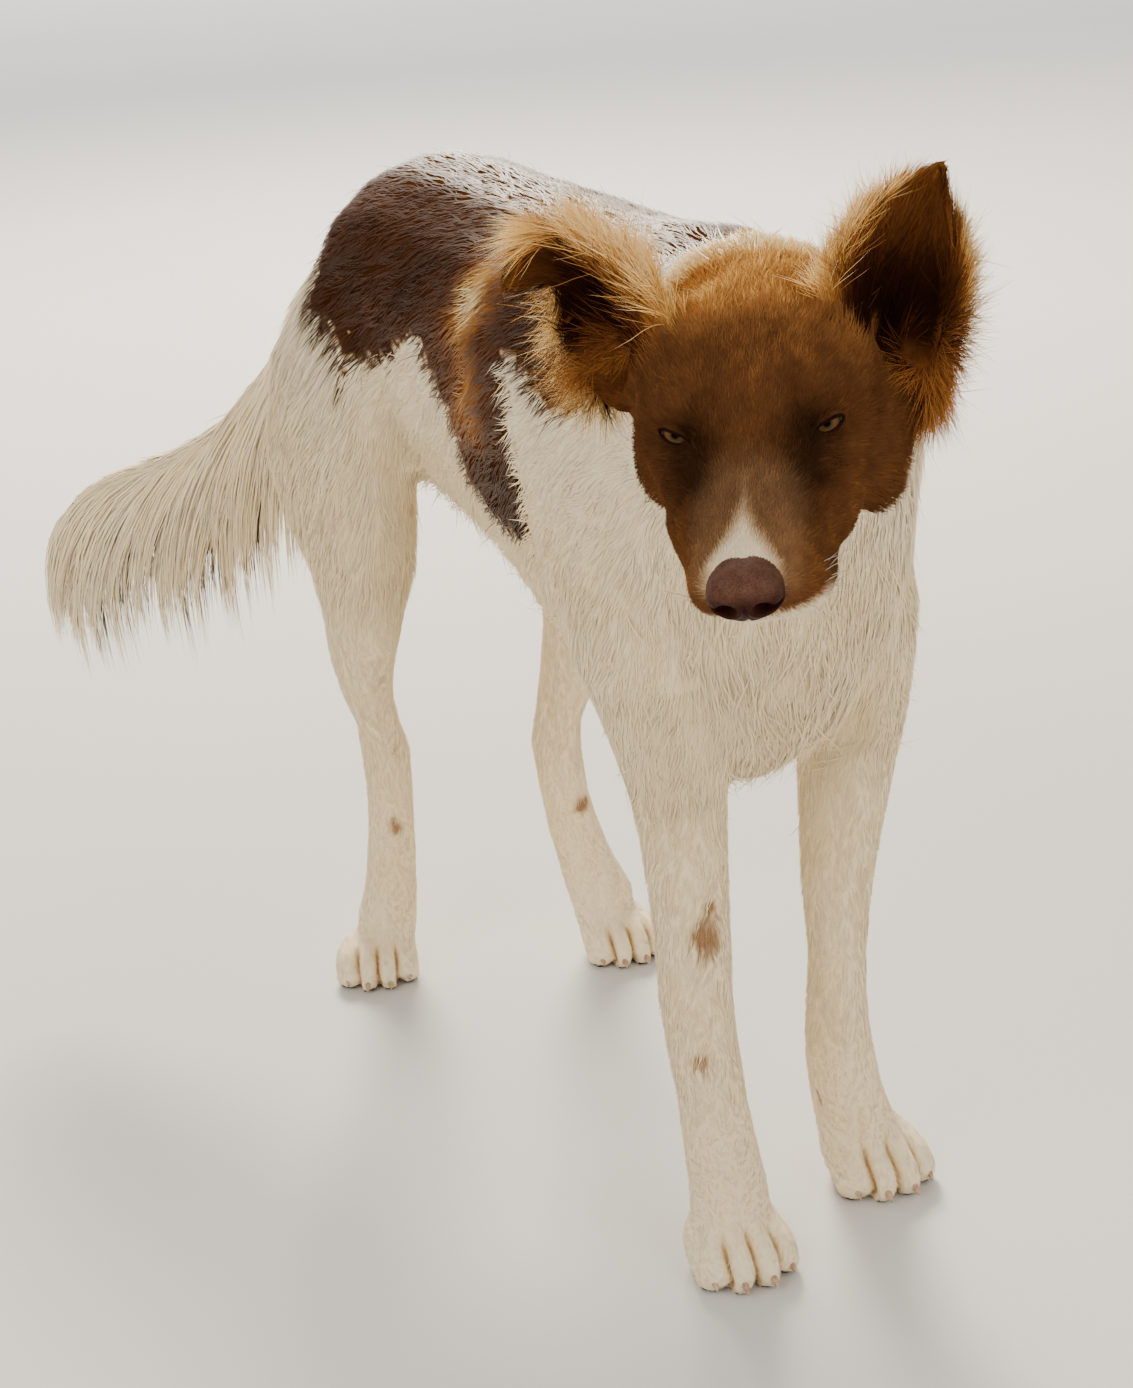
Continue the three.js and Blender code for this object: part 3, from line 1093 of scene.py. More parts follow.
@dataclass(frozen=True)
class Eye:
    """One eye: a ball with a bulging cornea behind half-lowered lids. Millimetres and degrees."""

    side: int
    radius: float = 10.5
    bulge: float = 1.1
    forward: float = 7.0
    out: float = 28.2
    rise: float = 0.9
    lid: float = 1.5
    rim: float = 0.75
    half_width: float = 32.0
    upper: float = 15.0
    lower: float = 11.5
    slant: float = 7.0
    inward: float = 8.0
    upward: float = 9.0

    @property
    def name(self) -> str:
        """Which eye it is."""
        return "left" if self.side > 0 else "right"

    @property
    def centre(self) -> Array:
        """The ball's middle in the head's frame."""
        return np.array([self.side * self.out, self.forward, self.rise])

    @property
    def axes(self) -> Array:
        """The eye's own axes in the head's frame.

        Returns:
            Out along the slit, forward along the gaze, and up, one a row.
        """
        gaze = unit(np.array([self.side * 0.34, -0.93, 0.02]))
        tilt = math.radians(self.slant)
        out = np.array([self.side * math.cos(tilt), 0.0, math.sin(tilt)])
        out = unit(out - (out @ gaze) * gaze)
        return np.stack([out, gaze, self.side * np.cross(gaze, out)])

    def angles(self, points: Array) -> tuple[Array, Array, Array]:
        """Where points lie as seen from the ball's middle.

        Args:
            points: the points, in the head's frame.

        Returns:
            The angle out along the slit and the angle up, in degrees, and the distance.
        """
        rays = (points - self.centre) @ self.axes.T
        distance = np.linalg.norm(rays, axis=1)
        rays = rays / np.maximum(distance, 1e-9)[:, None]
        along = np.degrees(np.arctan2(rays[:, 0], rays[:, 1]))
        above = np.degrees(np.arcsin(np.clip(rays[:, 2], -1, 1)))
        return along, above, distance

    def place(self, along: Array, above: Array, distance: Array | float) -> Array:
        """The points that stand at given angles from the ball's middle.

        Args:
            along: the angles out along the slit, in degrees.
            above: the angles up.
            distance: how far away each point is.

        Returns:
            The points, in the head's frame.
        """
        u, v = np.radians(along), np.radians(above)
        rays = np.stack([np.sin(u) * np.cos(v), np.cos(u) * np.cos(v), np.sin(v)], 1)
        return self.centre + (rays * np.reshape(distance, (-1, 1))) @ self.axes

    def edges(self, along: Array) -> tuple[Array, Array]:
        """Where the edges of the lids are.

        Args:
            along: angles out along the slit, in degrees.

        Returns:
            The angles up of the upper and of the lower lid's edge at each.
        """
        t = np.clip(along / self.half_width, -1, 1)
        arch = np.sqrt(np.maximum(1 - t**2, 0))
        rise = 3.0 * t
        upper = self.upper * arch**1.1 * (1 + 0.1 * t) + rise
        return upper, -self.lower * arch**1.15 * (1 - 0.12 * t) + rise

    def openness(self, points: Array, margin: float) -> Array:
        """How far inside the open slit points are.

        Args:
            points: the points, in the head's frame.
            margin: what is added to the slit all round, in degrees.

        Returns:
            The depth of each inside it, in degrees, below zero outside.
        """
        along, above, _ = self.angles(points)
        upper, lower = self.edges(along)
        inside = np.minimum(upper - above, above - lower) + margin
        return np.where(np.abs(along) < self.half_width + margin, inside, -1e3)

    def build(self, finish: Material) -> None:
        """Makes the ball, with its iris laid out in rings round the pupil.

        Args:
            finish: its material.
        """
        theta, phi, local, faces = globe(rings=48, sides=64)
        reach = self.radius + self.bulge * ease(math.radians(40), math.radians(8), theta)
        turned = Matrix.Rotation(math.radians(self.inward), 3, "Z") @ Matrix.Rotation(
            math.radians(self.upward), 3, "X")
        points = HEAD.outside(
            self.centre + (local * reach[:, None]) @ np.array(turned).T @ self.axes)
        piece = mesh_object(f"eyeball_{self.name}", points, oriented(points, faces))
        set_field(piece.data, "ring", theta / math.pi)
        set_field(piece.data, "spoke", 0.5 + 0.5 * np.sin(23 * phi) * np.cos(9 * phi + 1))
        shown(piece, finish, [f"eye_{self.name}"])

    def build_rims(self, finish: Material) -> None:
        """Makes the dark moist edges of both lids, with the small fold of the inner corner.

        Args:
            finish: their material.
        """
        along = np.linspace(-self.half_width, self.half_width, 40)
        swell = 0.55 + 0.45 * np.sin(np.linspace(0, math.pi, len(along)))
        lines = []
        for edge, lift in zip(self.edges(along), (0.9, 0.55)):
            line = HEAD.outside(self.place(along, edge, self.radius + lift))
            lines.append(tube(line, self.rim * MM * swell))
        inner = np.array([-self.half_width + 4, -self.half_width - 5.0])
        line = HEAD.outside(self.place(inner, np.array([-1.5, 2.5]), self.radius + 0.4))
        lines.append(tube(line, np.array([1.0, 0.5]) * MM))
        points, faces = merged(lines)
        piece = mesh_object(f"lid_rims_{self.name}", points, faces)
        set_field(piece.data, "hollow", np.zeros(len(points)))
        shown(piece, finish)


EYES = (Eye(-1), Eye(1))


# ---- The skin ----

@dataclass(frozen=True)
class Growth:
    """The skin and hair of one part of the dog.

    It holds how far the skin lies inside the solids and how long the hair is, in millimetres,
    how much the skin is smoothed, 0 to 1, and how far the hair stands up, in degrees.
    """

    depth: float
    smoothing: float
    length: float
    lift: float = 8.0


GROWTH = {
    Part.TRUNK: Growth(0.3, 1.0, 19.0),
    Part.NECK: Growth(0.3, 1.0, 21.0),
    Part.HEAD: Growth(0.6, 0.45, 7.0, 7.0),
    Part.EAR_LEFT: Growth(2.2, 0.6, 13.0, 10.0),
    Part.EAR_RIGHT: Growth(2.0, 0.6, 13.0, 10.0),
    Part.TAIL: Growth(0.0, 0.8, 26.0, 12.0),
    Part.UPPER_ARM: Growth(0.4, 1.0, 17.0),
    Part.FOREARM: Growth(0.6, 0.85, 10.0),
    Part.FOREPAW: Growth(0.4, 0.16, 4.0),
    Part.THIGH: Growth(0.2, 1.0, 21.0, 9.0),
    Part.SHANK: Growth(0.7, 0.85, 9.0),
    Part.HINDPAW: Growth(0.4, 0.16, 4.0),
}


@dataclass
class Hide:
    """The dog's one skin: made whole from the solids of flesh, then modelled at head and feet."""

    voxel: float = 3.75 * MM
    swell: float = 0.9 * MM
    core_radii: tuple[float, ...] = (20, 19, 17, 14, 12, 10.5, 9, 5)
    surface: Surface = field(init=False)
    parts: Array = field(init=False)
    left: Array = field(init=False)
    bare: Array = field(init=False)
    cleft: Array = field(init=False)

    @property
    def between_toes(self) -> Array:
        """How much darker the hair and skin are made in the clefts between the toes: painted shade."""
        return 0.7 * self.cleft**1.5

    def gathered(self) -> Body:
        """Gathers the solids of flesh, each swollen enough to meet its neighbours.

        The tail's solids reach to the ends of its long hair, so a slim core stands for them, and
        the hollows of the eyes and the nose are filled, since both are pieces of their own.

        Returns:
            The points and the triangles.
        """
        bodies = []
        for name in FLESH:
            if part_of(name) is not Part.TAIL:
                body = welded(read_mesh(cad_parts[name].data))
                bodies.append((body.points + self.swell * body.normals(), body.triangles))
        radii = resampled(np.array(self.core_radii)[:, None], 24)[:, 0]
        bodies.append(tube(resampled(TAIL.points, 24), MM * radii, sides=20))
        for eye in EYES:
            bodies.append(ball(eye.centre + np.array([eye.side * 1.0, -6.0, 0.5]), 11.5))
        bodies.append(ball(np.array([0.0, -81.0, -23.0]), 11.0))
        return merged(bodies)

    def remeshed(self) -> Surface:
        """Makes the flesh one closed even surface, with no seam left between its parts.

        Returns:
            The surface.
        """
        points, faces = self.gathered()
        rough = mesh_object("rough", points, faces)
        change = rough.modifiers.new("whole", "REMESH")
        change.mode = "VOXEL"
        change.voxel_size = self.voxel
        evaluated = rough.evaluated_get(bpy.context.evaluated_depsgraph_get())
        whole = bpy.data.meshes.new_from_object(evaluated)
        bpy.data.objects.remove(rough)
        return largest(read_mesh(whole))

    def build(self) -> None:
        """Makes the surface and its fields."""
        self.surface = self.remeshed()
        self.parts, self.left = self.named(self.surface.points)
        self.smooth()
        self.shrink()
        self.fill_pasterns()
        self.raise_nape()
        self.trim_ears()
        self.surface = self.finer(self.surface, self.face_share)
        self.surface = self.finer(self.surface, self.eye_share)
        self.parts, self.left = self.named(self.surface.points)
        self.bare, self.cleft = np.zeros((2, len(self.surface.points)))
        self.model_face()
        self.model_feet()
        LOG.info("skin: %d triangles", len(self.surface.triangles))

    def smooth(self) -> None:
        """Smooths the steps between the solids, least at the paws and the head."""
        skin = self.surface
        pastern = ease(30 * MM, 46 * MM, skin.points[:, 2]) * among(self.parts, *PAWS)
        strength = np.maximum(by_part("smoothing", self.parts), 0.9 * pastern)
        skin.relax(skin.spread(strength, 8), 29)

    def shrink(self) -> None:
        """Draws the skin in by the depth of the coat, except at the soles."""
        skin = self.surface
        depth = skin.spread(by_part("depth", self.parts), 14) * MM + self.swell
        normals = skin.spread(skin.normals(), 3)
        sole = ease(1.5 * MM, 12 * MM, skin.points[:, 2])
        skin.points -= (depth * sole)[:, None] * unit(normals)

    @staticmethod
    def named(points: Array) -> tuple[Array, Array]:
        """Tells the parts of the dog apart.

        Args:
            points: points of the skin.

        Returns:
            The part that each point belongs to, and whether it is on the dog's left.
        """
        tree, owners = solid_tree(FLESH)
        nearest = np.array([tree.find_nearest(point)[2] for point in points.tolist()])
        part = np.array([part_of(name).value for name in owners])[nearest]
        left = np.array([name.endswith("left") for name in owners])[nearest]
        return part, left

    @staticmethod
    def face_share(centres: Array) -> Array:
        """Which faces lie on the face or the feet, where the shape is finer.

        Args:
            centres: the faces' middles, metres.

        Returns:
            Whether each is one of them.
        """
        x, y, z = HEAD.inside(centres).T
        face = (y < 26) & (np.abs(x) < 60) & (z > -70) & (z < 45)
        return face | (centres[:, 2] < 30 * MM)

    @staticmethod
    def eye_share(centres: Array) -> Array:
        """Which faces lie round the eyes, where it is finer still.

        Args:
            centres: the faces' middles, metres.

        Returns:
            Whether each is one of them.
        """
        local = HEAD.inside(centres)
        near = [np.linalg.norm(local - eye.centre, axis=1) < 21 for eye in EYES]
        return np.any(near, axis=0) & (local[:, 1] < 10)

    @staticmethod
    def finer(surface: Surface, chosen: Callable[[Array], Array]) -> Surface:
        """Cuts some of a surface's faces in four.

        Args:
            surface: the surface.
            chosen: tells from the faces' middles which are cut.

        Returns:
            The finer surface.
        """
        mesh = bpy.data.meshes.new("finer")
        mesh.from_pydata(surface.points.tolist(), [], surface.triangles.tolist())
        wanted = chosen(surface.points[surface.triangles].mean(1))
        work = bmesh.new()
        work.from_mesh(mesh)
        work.faces.ensure_lookup_table()
        edges = {edge for i in np.nonzero(wanted)[0] for edge in work.faces[i].edges}
        edges = sorted(edges, key=lambda edge: edge.index)
        bmesh.ops.subdivide_edges(work, edges=edges, cuts=1, smooth=0.6)
        bmesh.ops.triangulate(work, faces=work.faces)
        work.to_mesh(mesh)
        work.free()
        finer = read_mesh(mesh)
        bpy.data.meshes.remove(mesh)
        return finer

    def fill_pasterns(self) -> None:
        """Runs each pastern smoothly into its paw, with no step between them."""
        skin = self.surface
        z = skin.points[:, 2] / MM
        feet = among(self.parts, *LEGS, *PAWS)
        share = skin.spread(feet * ease(7, 20, z) * ease(110, 75, z), 3)
        for _ in range(26):
            skin.points += 0.5 * share[:, None] * (skin.averaged(skin.points) - skin.points)
        skin.points += (3.2 * MM * share)[:, None] * skin.normals()

    def raise_nape(self) -> None:
        """Fills the neck's ridge up to the coat's outline behind the head."""
        skin = self.surface
        top = among(self.parts, Part.NECK) * ease(0.1, 0.8, skin.normals()[:, 2])
        share = skin.spread(top * ease(-200, -285, skin.points[:, 1] / MM), 10)
        skin.points += (6.5 * MM * share)[:, None] * UP

    def trim_ears(self) -> None:
        """Draws the rims of the ears in by the depth of their fringe."""
        skin = self.surface
        for ear in EARS:
            chosen = np.nonzero(among(self.parts, ear.part))[0]
            _, rim, outward, _ = ear.place(skin.points[chosen])
            skin.points[chosen] -= MM * (ear.trimmed(outward) * rim)[:, None] * outward
        skin.relax(0.6 * among(self.parts, *BOTH_EARS), 4)

    def model_face(self) -> None:
        """Presses and raises the head's own forms: orbits, lids, stop, muzzle and lips."""
        skin = self.surface
        near = np.nonzero(among(self.parts, Part.HEAD))[0]
        local = HEAD.inside(skin.points[near])
        normals = HEAD.ways_inside(skin.normals()[near])
        local = local + self.forms(local)[:, None] * normals
        bare = np.zeros(len(near))
        for eye in EYES:
            local, open_share = self.lidded(local, eye)
            bare = np.maximum(bare, open_share)
        skin.points[near] = HEAD.outside(local)
        self.bare[near] = np.maximum(bare, self.lip_line(local)[1])

    def model_feet(self) -> None:
        """Presses the clefts between the toes, and bares the pads."""
        skin = self.surface
        normals = skin.spread(skin.normals(), 2)
        for foot in FEET:
            cleft, ridge = foot.dents(skin.points)
            skin.points += MM * (1.6 * ridge - 5.0 * cleft)[:, None] * normals
            self.cleft = np.maximum(self.cleft, cleft)
        self.bare[(skin.points[:, 2] < 2.5 * MM) & (skin.normals()[:, 2] < -0.5)] = 1.0

    def forms(self, local: Array) -> Array:
        """The head's own forms.

        Args:
            local: points of the head, in its own frame.

        Returns:
            How far each point is raised, or pressed in where below zero, in millimetres.
        """
        x, y, z = local.T
        ax = np.abs(x)
        raised = np.zeros(len(local))
        for eye in EYES:
            cx, _, cz = eye.centre
            raised -= 4.6 * lump(x, y, z, (cx * 0.78, -12, cz - 1), (10, 16, 9))
            raised += 1.8 * lump(x, y, z, (cx * 0.72, -3, 14), (15, 16, 6))
            raised += 1.0 * lump(x, y, z, (cx, 2, -14), (14, 16, 6))
        furrow = hill(x, 3.5) * ease(-30, 5, y) * ease(70, 30, y) * ease(-5, 5, z)
        raised -= 1.5 * furrow
        cheek_line = hill(z + 24 + 0.12 * (y + 40), 7) * ease(-74, -55, y) * ease(8, -16, y)
        raised -= 1.2 * (cheek_line * ease(14, 24, ax))
        flews = hill(z + 36, 8) * ease(-84, -70, y) * ease(-20, -50, y) * ease(10, 18, ax)
        raised += 1.6 * flews
        jowl = lump(ax, y, z, (60, 26, -14), (13, 26, 22))
        raised -= np.where(x < 0, 9.0, 4.0) * jowl
        under_eye = lump(ax, y, z, (34, -16, -38), (13, 26, 17))
        raised += np.where(x < 0, 6.0, 7.0) * under_eye
        raised -= 3.5 * lump(x, y, z, (-52, 10, -34), (14, 22, 16))
        raised += 6.5 * lump(x, y, z, (25, -64, -34), (12, 22, 12))
        raised += 6.0 * lump(x, y, z, (44, 14, -46), (16, 26, 16))
        return raised - 1.8 * self.lip_line(local)[0]

    @staticmethod
    def lip_line(local: Array) -> tuple[Array, Array]:
        """The closed mouth.

        Args:
            local: points of the head, in its own frame.

        Returns:
            How deep each point lies in the mouth's groove, and how bare it is, 0 to 1.
        """
        _, y, z = local.T
        sag = 3.5 * np.sin(np.clip((y + 84) / 62, 0, 1) * math.pi)
        level = -41.5 - sag + 4.0 * ease(-20, 6, y)
        reach = ease(4, -6, y) * ease(-95, -84, y) + (y < -84)
        reach = np.clip(reach, 0, 1)
        groove = hill(z - level, 1.7) * reach * (y < 6)
        dark = hill(z - level + 0.4, 2.4) * reach * (y < 6)
        return groove, np.clip(1.5 * dark - 0.2, 0, 1)

    @staticmethod
    def lidded(local: Array, eye: Eye) -> tuple[Array, Array]:
        """Wraps the lids round one eye and opens the slit.

        Args:
            local: points of the head, in its own frame.
            eye: the eye.

        Returns:
            The points moved, and how bare each is.
        """
        along, above, distance = eye.angles(local)
        off = np.hypot(along * 0.85, above * 1.15)
        wrap = ease(66, 34, off) * (distance < 2.4 * eye.radius)
        upper, lower = eye.edges(along)
        fold = 0.9 * hill(above - upper - 8, 5) - 0.7 * hill(above - upper - 17, 4)
        fold -= 0.5 * hill(above - lower + 12, 3.5)
        target = eye.radius + eye.lid + fold
        moved = distance + wrap * (target - distance)
        reach = ease(2.1 * eye.radius, 1.8 * eye.radius, distance)
        inside = eye.openness(local, 1.5)
        opened = ease(-1.0, 4.0, inside) * reach
        moved = moved * (1 - opened) + (eye.radius - 3.2) * opened
        bare = ease(-6.0, -1.0, inside) * reach
        close = off < 90
        result = local.copy()
        result[close] = eye.place(along, above, moved)[close]
        return result, np.where(close, bare, 0)


def by_part(measure: str, parts: Array) -> Array:
    """One of the measures of growth at each point, from the part it belongs to."""
    return np.array([getattr(GROWTH[part], measure) for part in Part])[parts]


def resampled(line: Array, count: int) -> Array:
    """Draws a smooth run through the rows given.

    Args:
        line: the rows.
        count: how many rows the run has.

    Returns:
        The run.
    """
    t = np.linspace(0, len(line) - 1, count)
    i = np.clip(t.astype(int), 0, len(line) - 2)
    f = (t - i)[:, None]
    before, a, b, after = (line[np.clip(i + k, 0, len(line) - 1)] for k in (-1, 0, 1, 2))
    return 0.5 * (
        2 * a + (b - before) * f + (2 * before - 5 * a + 4 * b - after) * f**2
        + (3 * a - before - 3 * b + after) * f**3)


def ball(centre: Array, radius: float) -> Body:
    """Makes a plain sphere, used only to fill a hollow before the skin is made.

    Args:
        centre: its middle, in millimetres in the head's own frame.
        radius: its radius, in millimetres.

    Returns:
        Its points and its triangles.
    """
    work = bmesh.new()
    bmesh.ops.create_icosphere(work, subdivisions=3, radius=radius * MM)
    points = np.array([v.co for v in work.verts]) + HEAD.outside(centre[None])[0]
    faces = np.array([[v.index for v in f.verts] for f in work.faces])
    work.free()
    return points, faces


def welded(surface: Surface) -> Surface:
    """Makes points that share a place one.

    Args:
        surface: the surface.

    Returns:
        It, without the triangles that fold to nothing.
    """
    keys = np.round(surface.points / (0.002 * MM)).astype(np.int64)
    _, first, back = np.unique(keys, axis=0, return_index=True, return_inverse=True)
    triangles = back.reshape(-1)[surface.triangles]
    keep = (triangles[:, 0] != triangles[:, 1]) & (triangles[:, 1] != triangles[:, 2])
    keep &= triangles[:, 2] != triangles[:, 0]
    return Surface(surface.points[first], triangles[keep])


def largest(surface: Surface) -> Surface:
    """Keeps one of a surface's separate shells.

    Args:
        surface: the surface.

    Returns:
        Its largest shell.
    """
    shell = np.arange(len(surface.points))
    a, b = surface.edges.T
    while True:
        low = np.minimum(shell[a], shell[b])
        before = shell.copy()
        np.minimum.at(shell, a, low)
        np.minimum.at(shell, b, low)
        shell = shell[shell]
        if np.array_equal(before, shell):
            break
    names, counts = np.unique(shell, return_counts=True)
    kept = shell == names[np.argmax(counts)]
    index = np.cumsum(kept) - 1
    triangles = surface.triangles[kept[surface.triangles[:, 0]]]
    return Surface(surface.points[kept], index[triangles])


# ---- The markings ----

SADDLE_RIGHT = Patch((
    (-90, 394), (-86, 444), (-78, 466), (-66, 490), (-84, 486), (-122, 477), (-150, 478),
    (-190, 500), (-230, 522), (-280, 540), (-430, 545), (-430, 700), (262, 700), (256, 540), (232, 500),
    (195, 471), (171, 459), (140, 443), (102, 455), (72, 471), (40, 458), (20, 440), (4, 404),
    (-44, 388),
))
SADDLE_LEFT = Patch((
    (-70, 430), (-72, 470), (-95, 488), (-140, 486), (-190, 505), (-240, 525), (-290, 540),
    (-430, 545), (-430, 700), (262, 700), (256, 540), (236, 500), (205, 462), (160, 446), (120, 462),
    (84, 476), (40, 455), (0, 424), (-40, 416),
))
SPINE_X = 37.0
# Half widths of the blaze at so many millimetres ahead of the pupils; below zero it has not begun.
BLAZE_AHEAD = (24, 34, 47, 58, 66, 72, 78, 84)
BLAZE_HALF_WIDTHS = (-7, -4.5, -2.2, 0.8, 4.2, 8.2, 12, 12)
# Spots of liver hair on the white legs: place in millimetres, half size across and up.
SPOTS = (
    (-12, -190, 197, 9, 13), (-21, -193, 130, 5.5, 4), (-8, -186, 212, 4, 3.5),
    (10, 230, 150, 5, 7), (6, 237, 100, 5, 6), (15, 233, 128, 3.5, 5), (124, 189, 102, 6, 5),
    (118, 200, 130, 4, 6), (96, -160, 60, 4, 4), (-2, -196, 78, 3, 4), (60, -170, 150, 3, 4),
)


@dataclass(frozen=True)
class Markings:
    """Where the liver hair grows on the skin, and how dark or sun-bleached each place is, with painted
    light and shade on the ears, by the eyes and on the white coat.
    """

    points: Array
    parts: Array
    edge: float = 2.2

    @property
    def local(self) -> Array:
        """The points in the head's own frame, an axis a row."""
        return HEAD.inside(self.points).T

    def on(self, *parts: Part) -> Array:
        """Which points belong to these parts."""
        return among(self.parts, *parts)

    def ripple(self, wavelength: float, seed: int) -> Array:
        """Smooth chance, about -1 to 1, with waves of so many millimetres."""
        return Ripple(wavelength * MM, seed).at(self.points)

    def liver(self) -> Array:
        """Where the liver hair grows.

        Returns:
            How liver each point is, 0 for white to 1.
        """
        mm = self.points / MM
        ragged = 3.5 * self.ripple(16, 5) + 2.5 * self.ripple(6, 6)
        right = SADDLE_RIGHT.depth(mm[:, 1], mm[:, 2])
        left = SADDLE_LEFT.depth(mm[:, 1], mm[:, 2])
        side = ease(-12, 12, mm[:, 0] - SPINE_X - 0.28 * np.minimum(mm[:, 1] + 110, 0))
        body = ease(-self.edge, self.edge, right * (1 - side) + left * side + ragged)
        mask = np.where(self.on(Part.TRUNK, Part.NECK, *THIGHS), body, 0.0)
        _, y, z = self.local
        low = ease(-24, -4, z)
        behind = np.maximum(ease(124, 104, y + 2 * ragged) * low, 0.4 * ease(260, 130, y) * low)
        mask = np.where(self.on(Part.NECK), np.maximum(mask, behind), mask)
        mask = np.where(self.on(*BOTH_EARS), 1.0, mask)
        mask = np.where(self.on(Part.HEAD), self.head(ragged), mask)
        for x, y, z, across, up in SPOTS:
            off = np.hypot(np.hypot(mm[:, 0] - x, mm[:, 1] - y) / across, (mm[:, 2] - z) / up)
            mask = np.maximum(mask, 0.85 * ease(1.35, 0.5, off + 0.06 * ragged))
        return mask

    def head(self, ragged: Array) -> Array:
        """The head's liver, less the blaze, the snip over the nose, the chin and the throat.

        Args:
            ragged: how far the edge of a marking is moved at each point, in millimetres.

        Returns:
            How liver each point is, 0 to 1.
        """
        x, y, z = self.local
        half = np.interp(-y, BLAZE_AHEAD, BLAZE_HALF_WIDTHS)
        blaze = 0.9 * ease(-6.0, 5.0, half - np.abs(x + 0.8) + 0.12 * ragged)
        blaze = blaze * ease(-22, -30, y) * ease(-26, -20, z)
        chin = ease(1.5, -2.5, z + 42.0) * ease(-30, -48, y)
        lip = ease(-3, 4, x - 9 + 0.3 * ragged) * ease(-30, -36, z) * ease(-60, -74, y)
        lip = np.maximum(lip, ease(-32, -36, z) * ease(-68, -76, y) * ease(-18, -10, x))
        throat = ease(-44, -50, z + 0.3 * ragged) * ease(-60, -40, y) * ease(36, 26, np.abs(x))
        nape = ease(76, 88, y + 0.6 * ragged) * ease(-24, -36, z)
        return 1 - np.max([blaze, chin, lip, throat, nape], axis=0)

    def frost(self) -> Array:
        """The share of pale hair mixed evenly into the liver on the muzzle and brow.

        Returns:
            The share at each point, 0 to 1.
        """
        x, y, z = self.local
        bridge = ease(-14, -34, y) * ease(30, 16, np.abs(x)) * ease(-38, -16, z)
        return 0.085 * self.on(Part.HEAD) * np.maximum(bridge, 0.24 * ease(60, 30, y))

    def tone(self, normals: Array) -> Array:
        """How pale the liver hair is, before each tuft's own share.

        Args:
            normals: the skin's normal at each point.

        Returns:
            The tone of each point, 0 to 1.
        """
        _, y, z = self.local
        cloud = 0.5 * self.ripple(60, 11) + 0.5 * self.ripple(22, 12)
        tone = np.where(self.on(*LEGS, *PAWS), 0.62, 0.34) + 0.05 * cloud
        tone = np.where(self.on(Part.HEAD), self.face_tone(cloud), tone)
        gold = ease(300, 230, y) * ease(-24, -4, z) * self.on(Part.NECK)
        tone = tone + gold * (0.70 + 0.20 * ease(78, 118, y) + 0.05 * cloud - tone)
        for ear in EARS:
            share, rim, outward, _ = ear.place(self.points)
            rim = np.max([rim, ear.tufted(share, rim, outward), ease(0.9, 1.0, share)], axis=0)
            facing = normals @ ear.faces
            # The inner side of each ear is made darker, darkest low in its cup: painted shade.
            inner = ease(-0.1, 0.5, facing) * (1 - rim)
            inner = np.maximum(inner, ease(0.38, 0.22, share) * ease(-0.6, 0.0, facing) * (1 - rim))
            deep = 0.05 + 0.42 * ease(0.35, 0.8, share) + ear.floor * ease(0.24, 0.08, share)
            # The rims are paler on the outer side and higher up: painted rim light, as if lit from
            # behind.
            sunlit = rim * np.maximum(ear.outer(outward), ease(8, 36, z))
            shade = (0.52 + 0.05 * cloud + 0.28 * sunlit) * (1 - inner) + deep * inner
            tone = np.where(self.on(ear.part), shade, tone)
        along, height = self.points[:, 1] / MM, self.points[:, 2] / MM
        flank = hill(along + 10, 30) * ease(415, 455, height) * ease(552, 510, height)
        pale = 0.42 * flank * (1 + 0.4 * cloud) + 0.08 * ease(510, 545, height)
        return np.clip(tone + np.where(self.on(Part.TRUNK, Part.THIGH), pale, 0), 0, 1)

    def face_tone(self, cloud: Array) -> Array:
        """How pale the liver hair of the head is: gold on the crown, with painted shade by the inner
        corner of each eye.

        Args:
            cloud: how much paler the coat is at each point by chance.

        Returns:
            The tone of each point.
        """
        x, y, z = self.local
        ax = np.abs(x)
        face = 0.50 + 0.01 * ease(-18, -40, y) + 0.05 * cloud + 0.025 * self.ripple(8, 13)
        face = face - 0.07 * ease(18, 46, ax) * ease(20, -10, z)
        crown = ease(8, 30, z) * ease(10, 60, y) * ease(56, 36, ax)
        flame = ease(10, 45, y) * ease(36, 8, ax) * ease(2, 22, z)
        groove = hill(ax - 22, 8) * ease(2, -12, y) * ease(-64, -46, y)
        face = face + 0.13 * crown + 0.11 * flame - 0.09 * groove
        # Painted shade in the hollows by the inner corner of each eye.
        for eye in EYES:
            inner = eye.centre[0] * 0.74
            face = face - 0.28 * lump(x, y, z, (inner, -4, -5), (14, 22, 18))
            face = face - 0.16 * lump(x, y, z, (inner, -14, -13), (10, 20, 9))
        return face

    def cream(self) -> Array:
        """How pale the white hair is: paler high up and darker, creamier low down, which is painted
        light and shade, and paler on the tail and the feet.

        Returns:
            The tone of each point, 0 to 1.
        """
        z = self.points[:, 2] / MM
        cloud = 0.5 * self.ripple(70, 21) + 0.5 * self.ripple(25, 22)
        # Paler with height: painted light from above, with painted shade low down.
        tone = 0.59 + 0.05 * cloud + 0.22 * ease(390, 500, z)
        return np.clip(tone + 0.06 * self.on(Part.TAIL) + 0.12 * ease(60, 10, z), 0, 1)


# ---- The lie of the coat ----

# How far each paw is turned out from the dog's length, in degrees; True is the left one.
PAW_TURNS = {(Part.FOREPAW, False): -11.0, (Part.FOREPAW, True): -8.0,
             (Part.HINDPAW, False): -24.0, (Part.HINDPAW, True): -12.0}


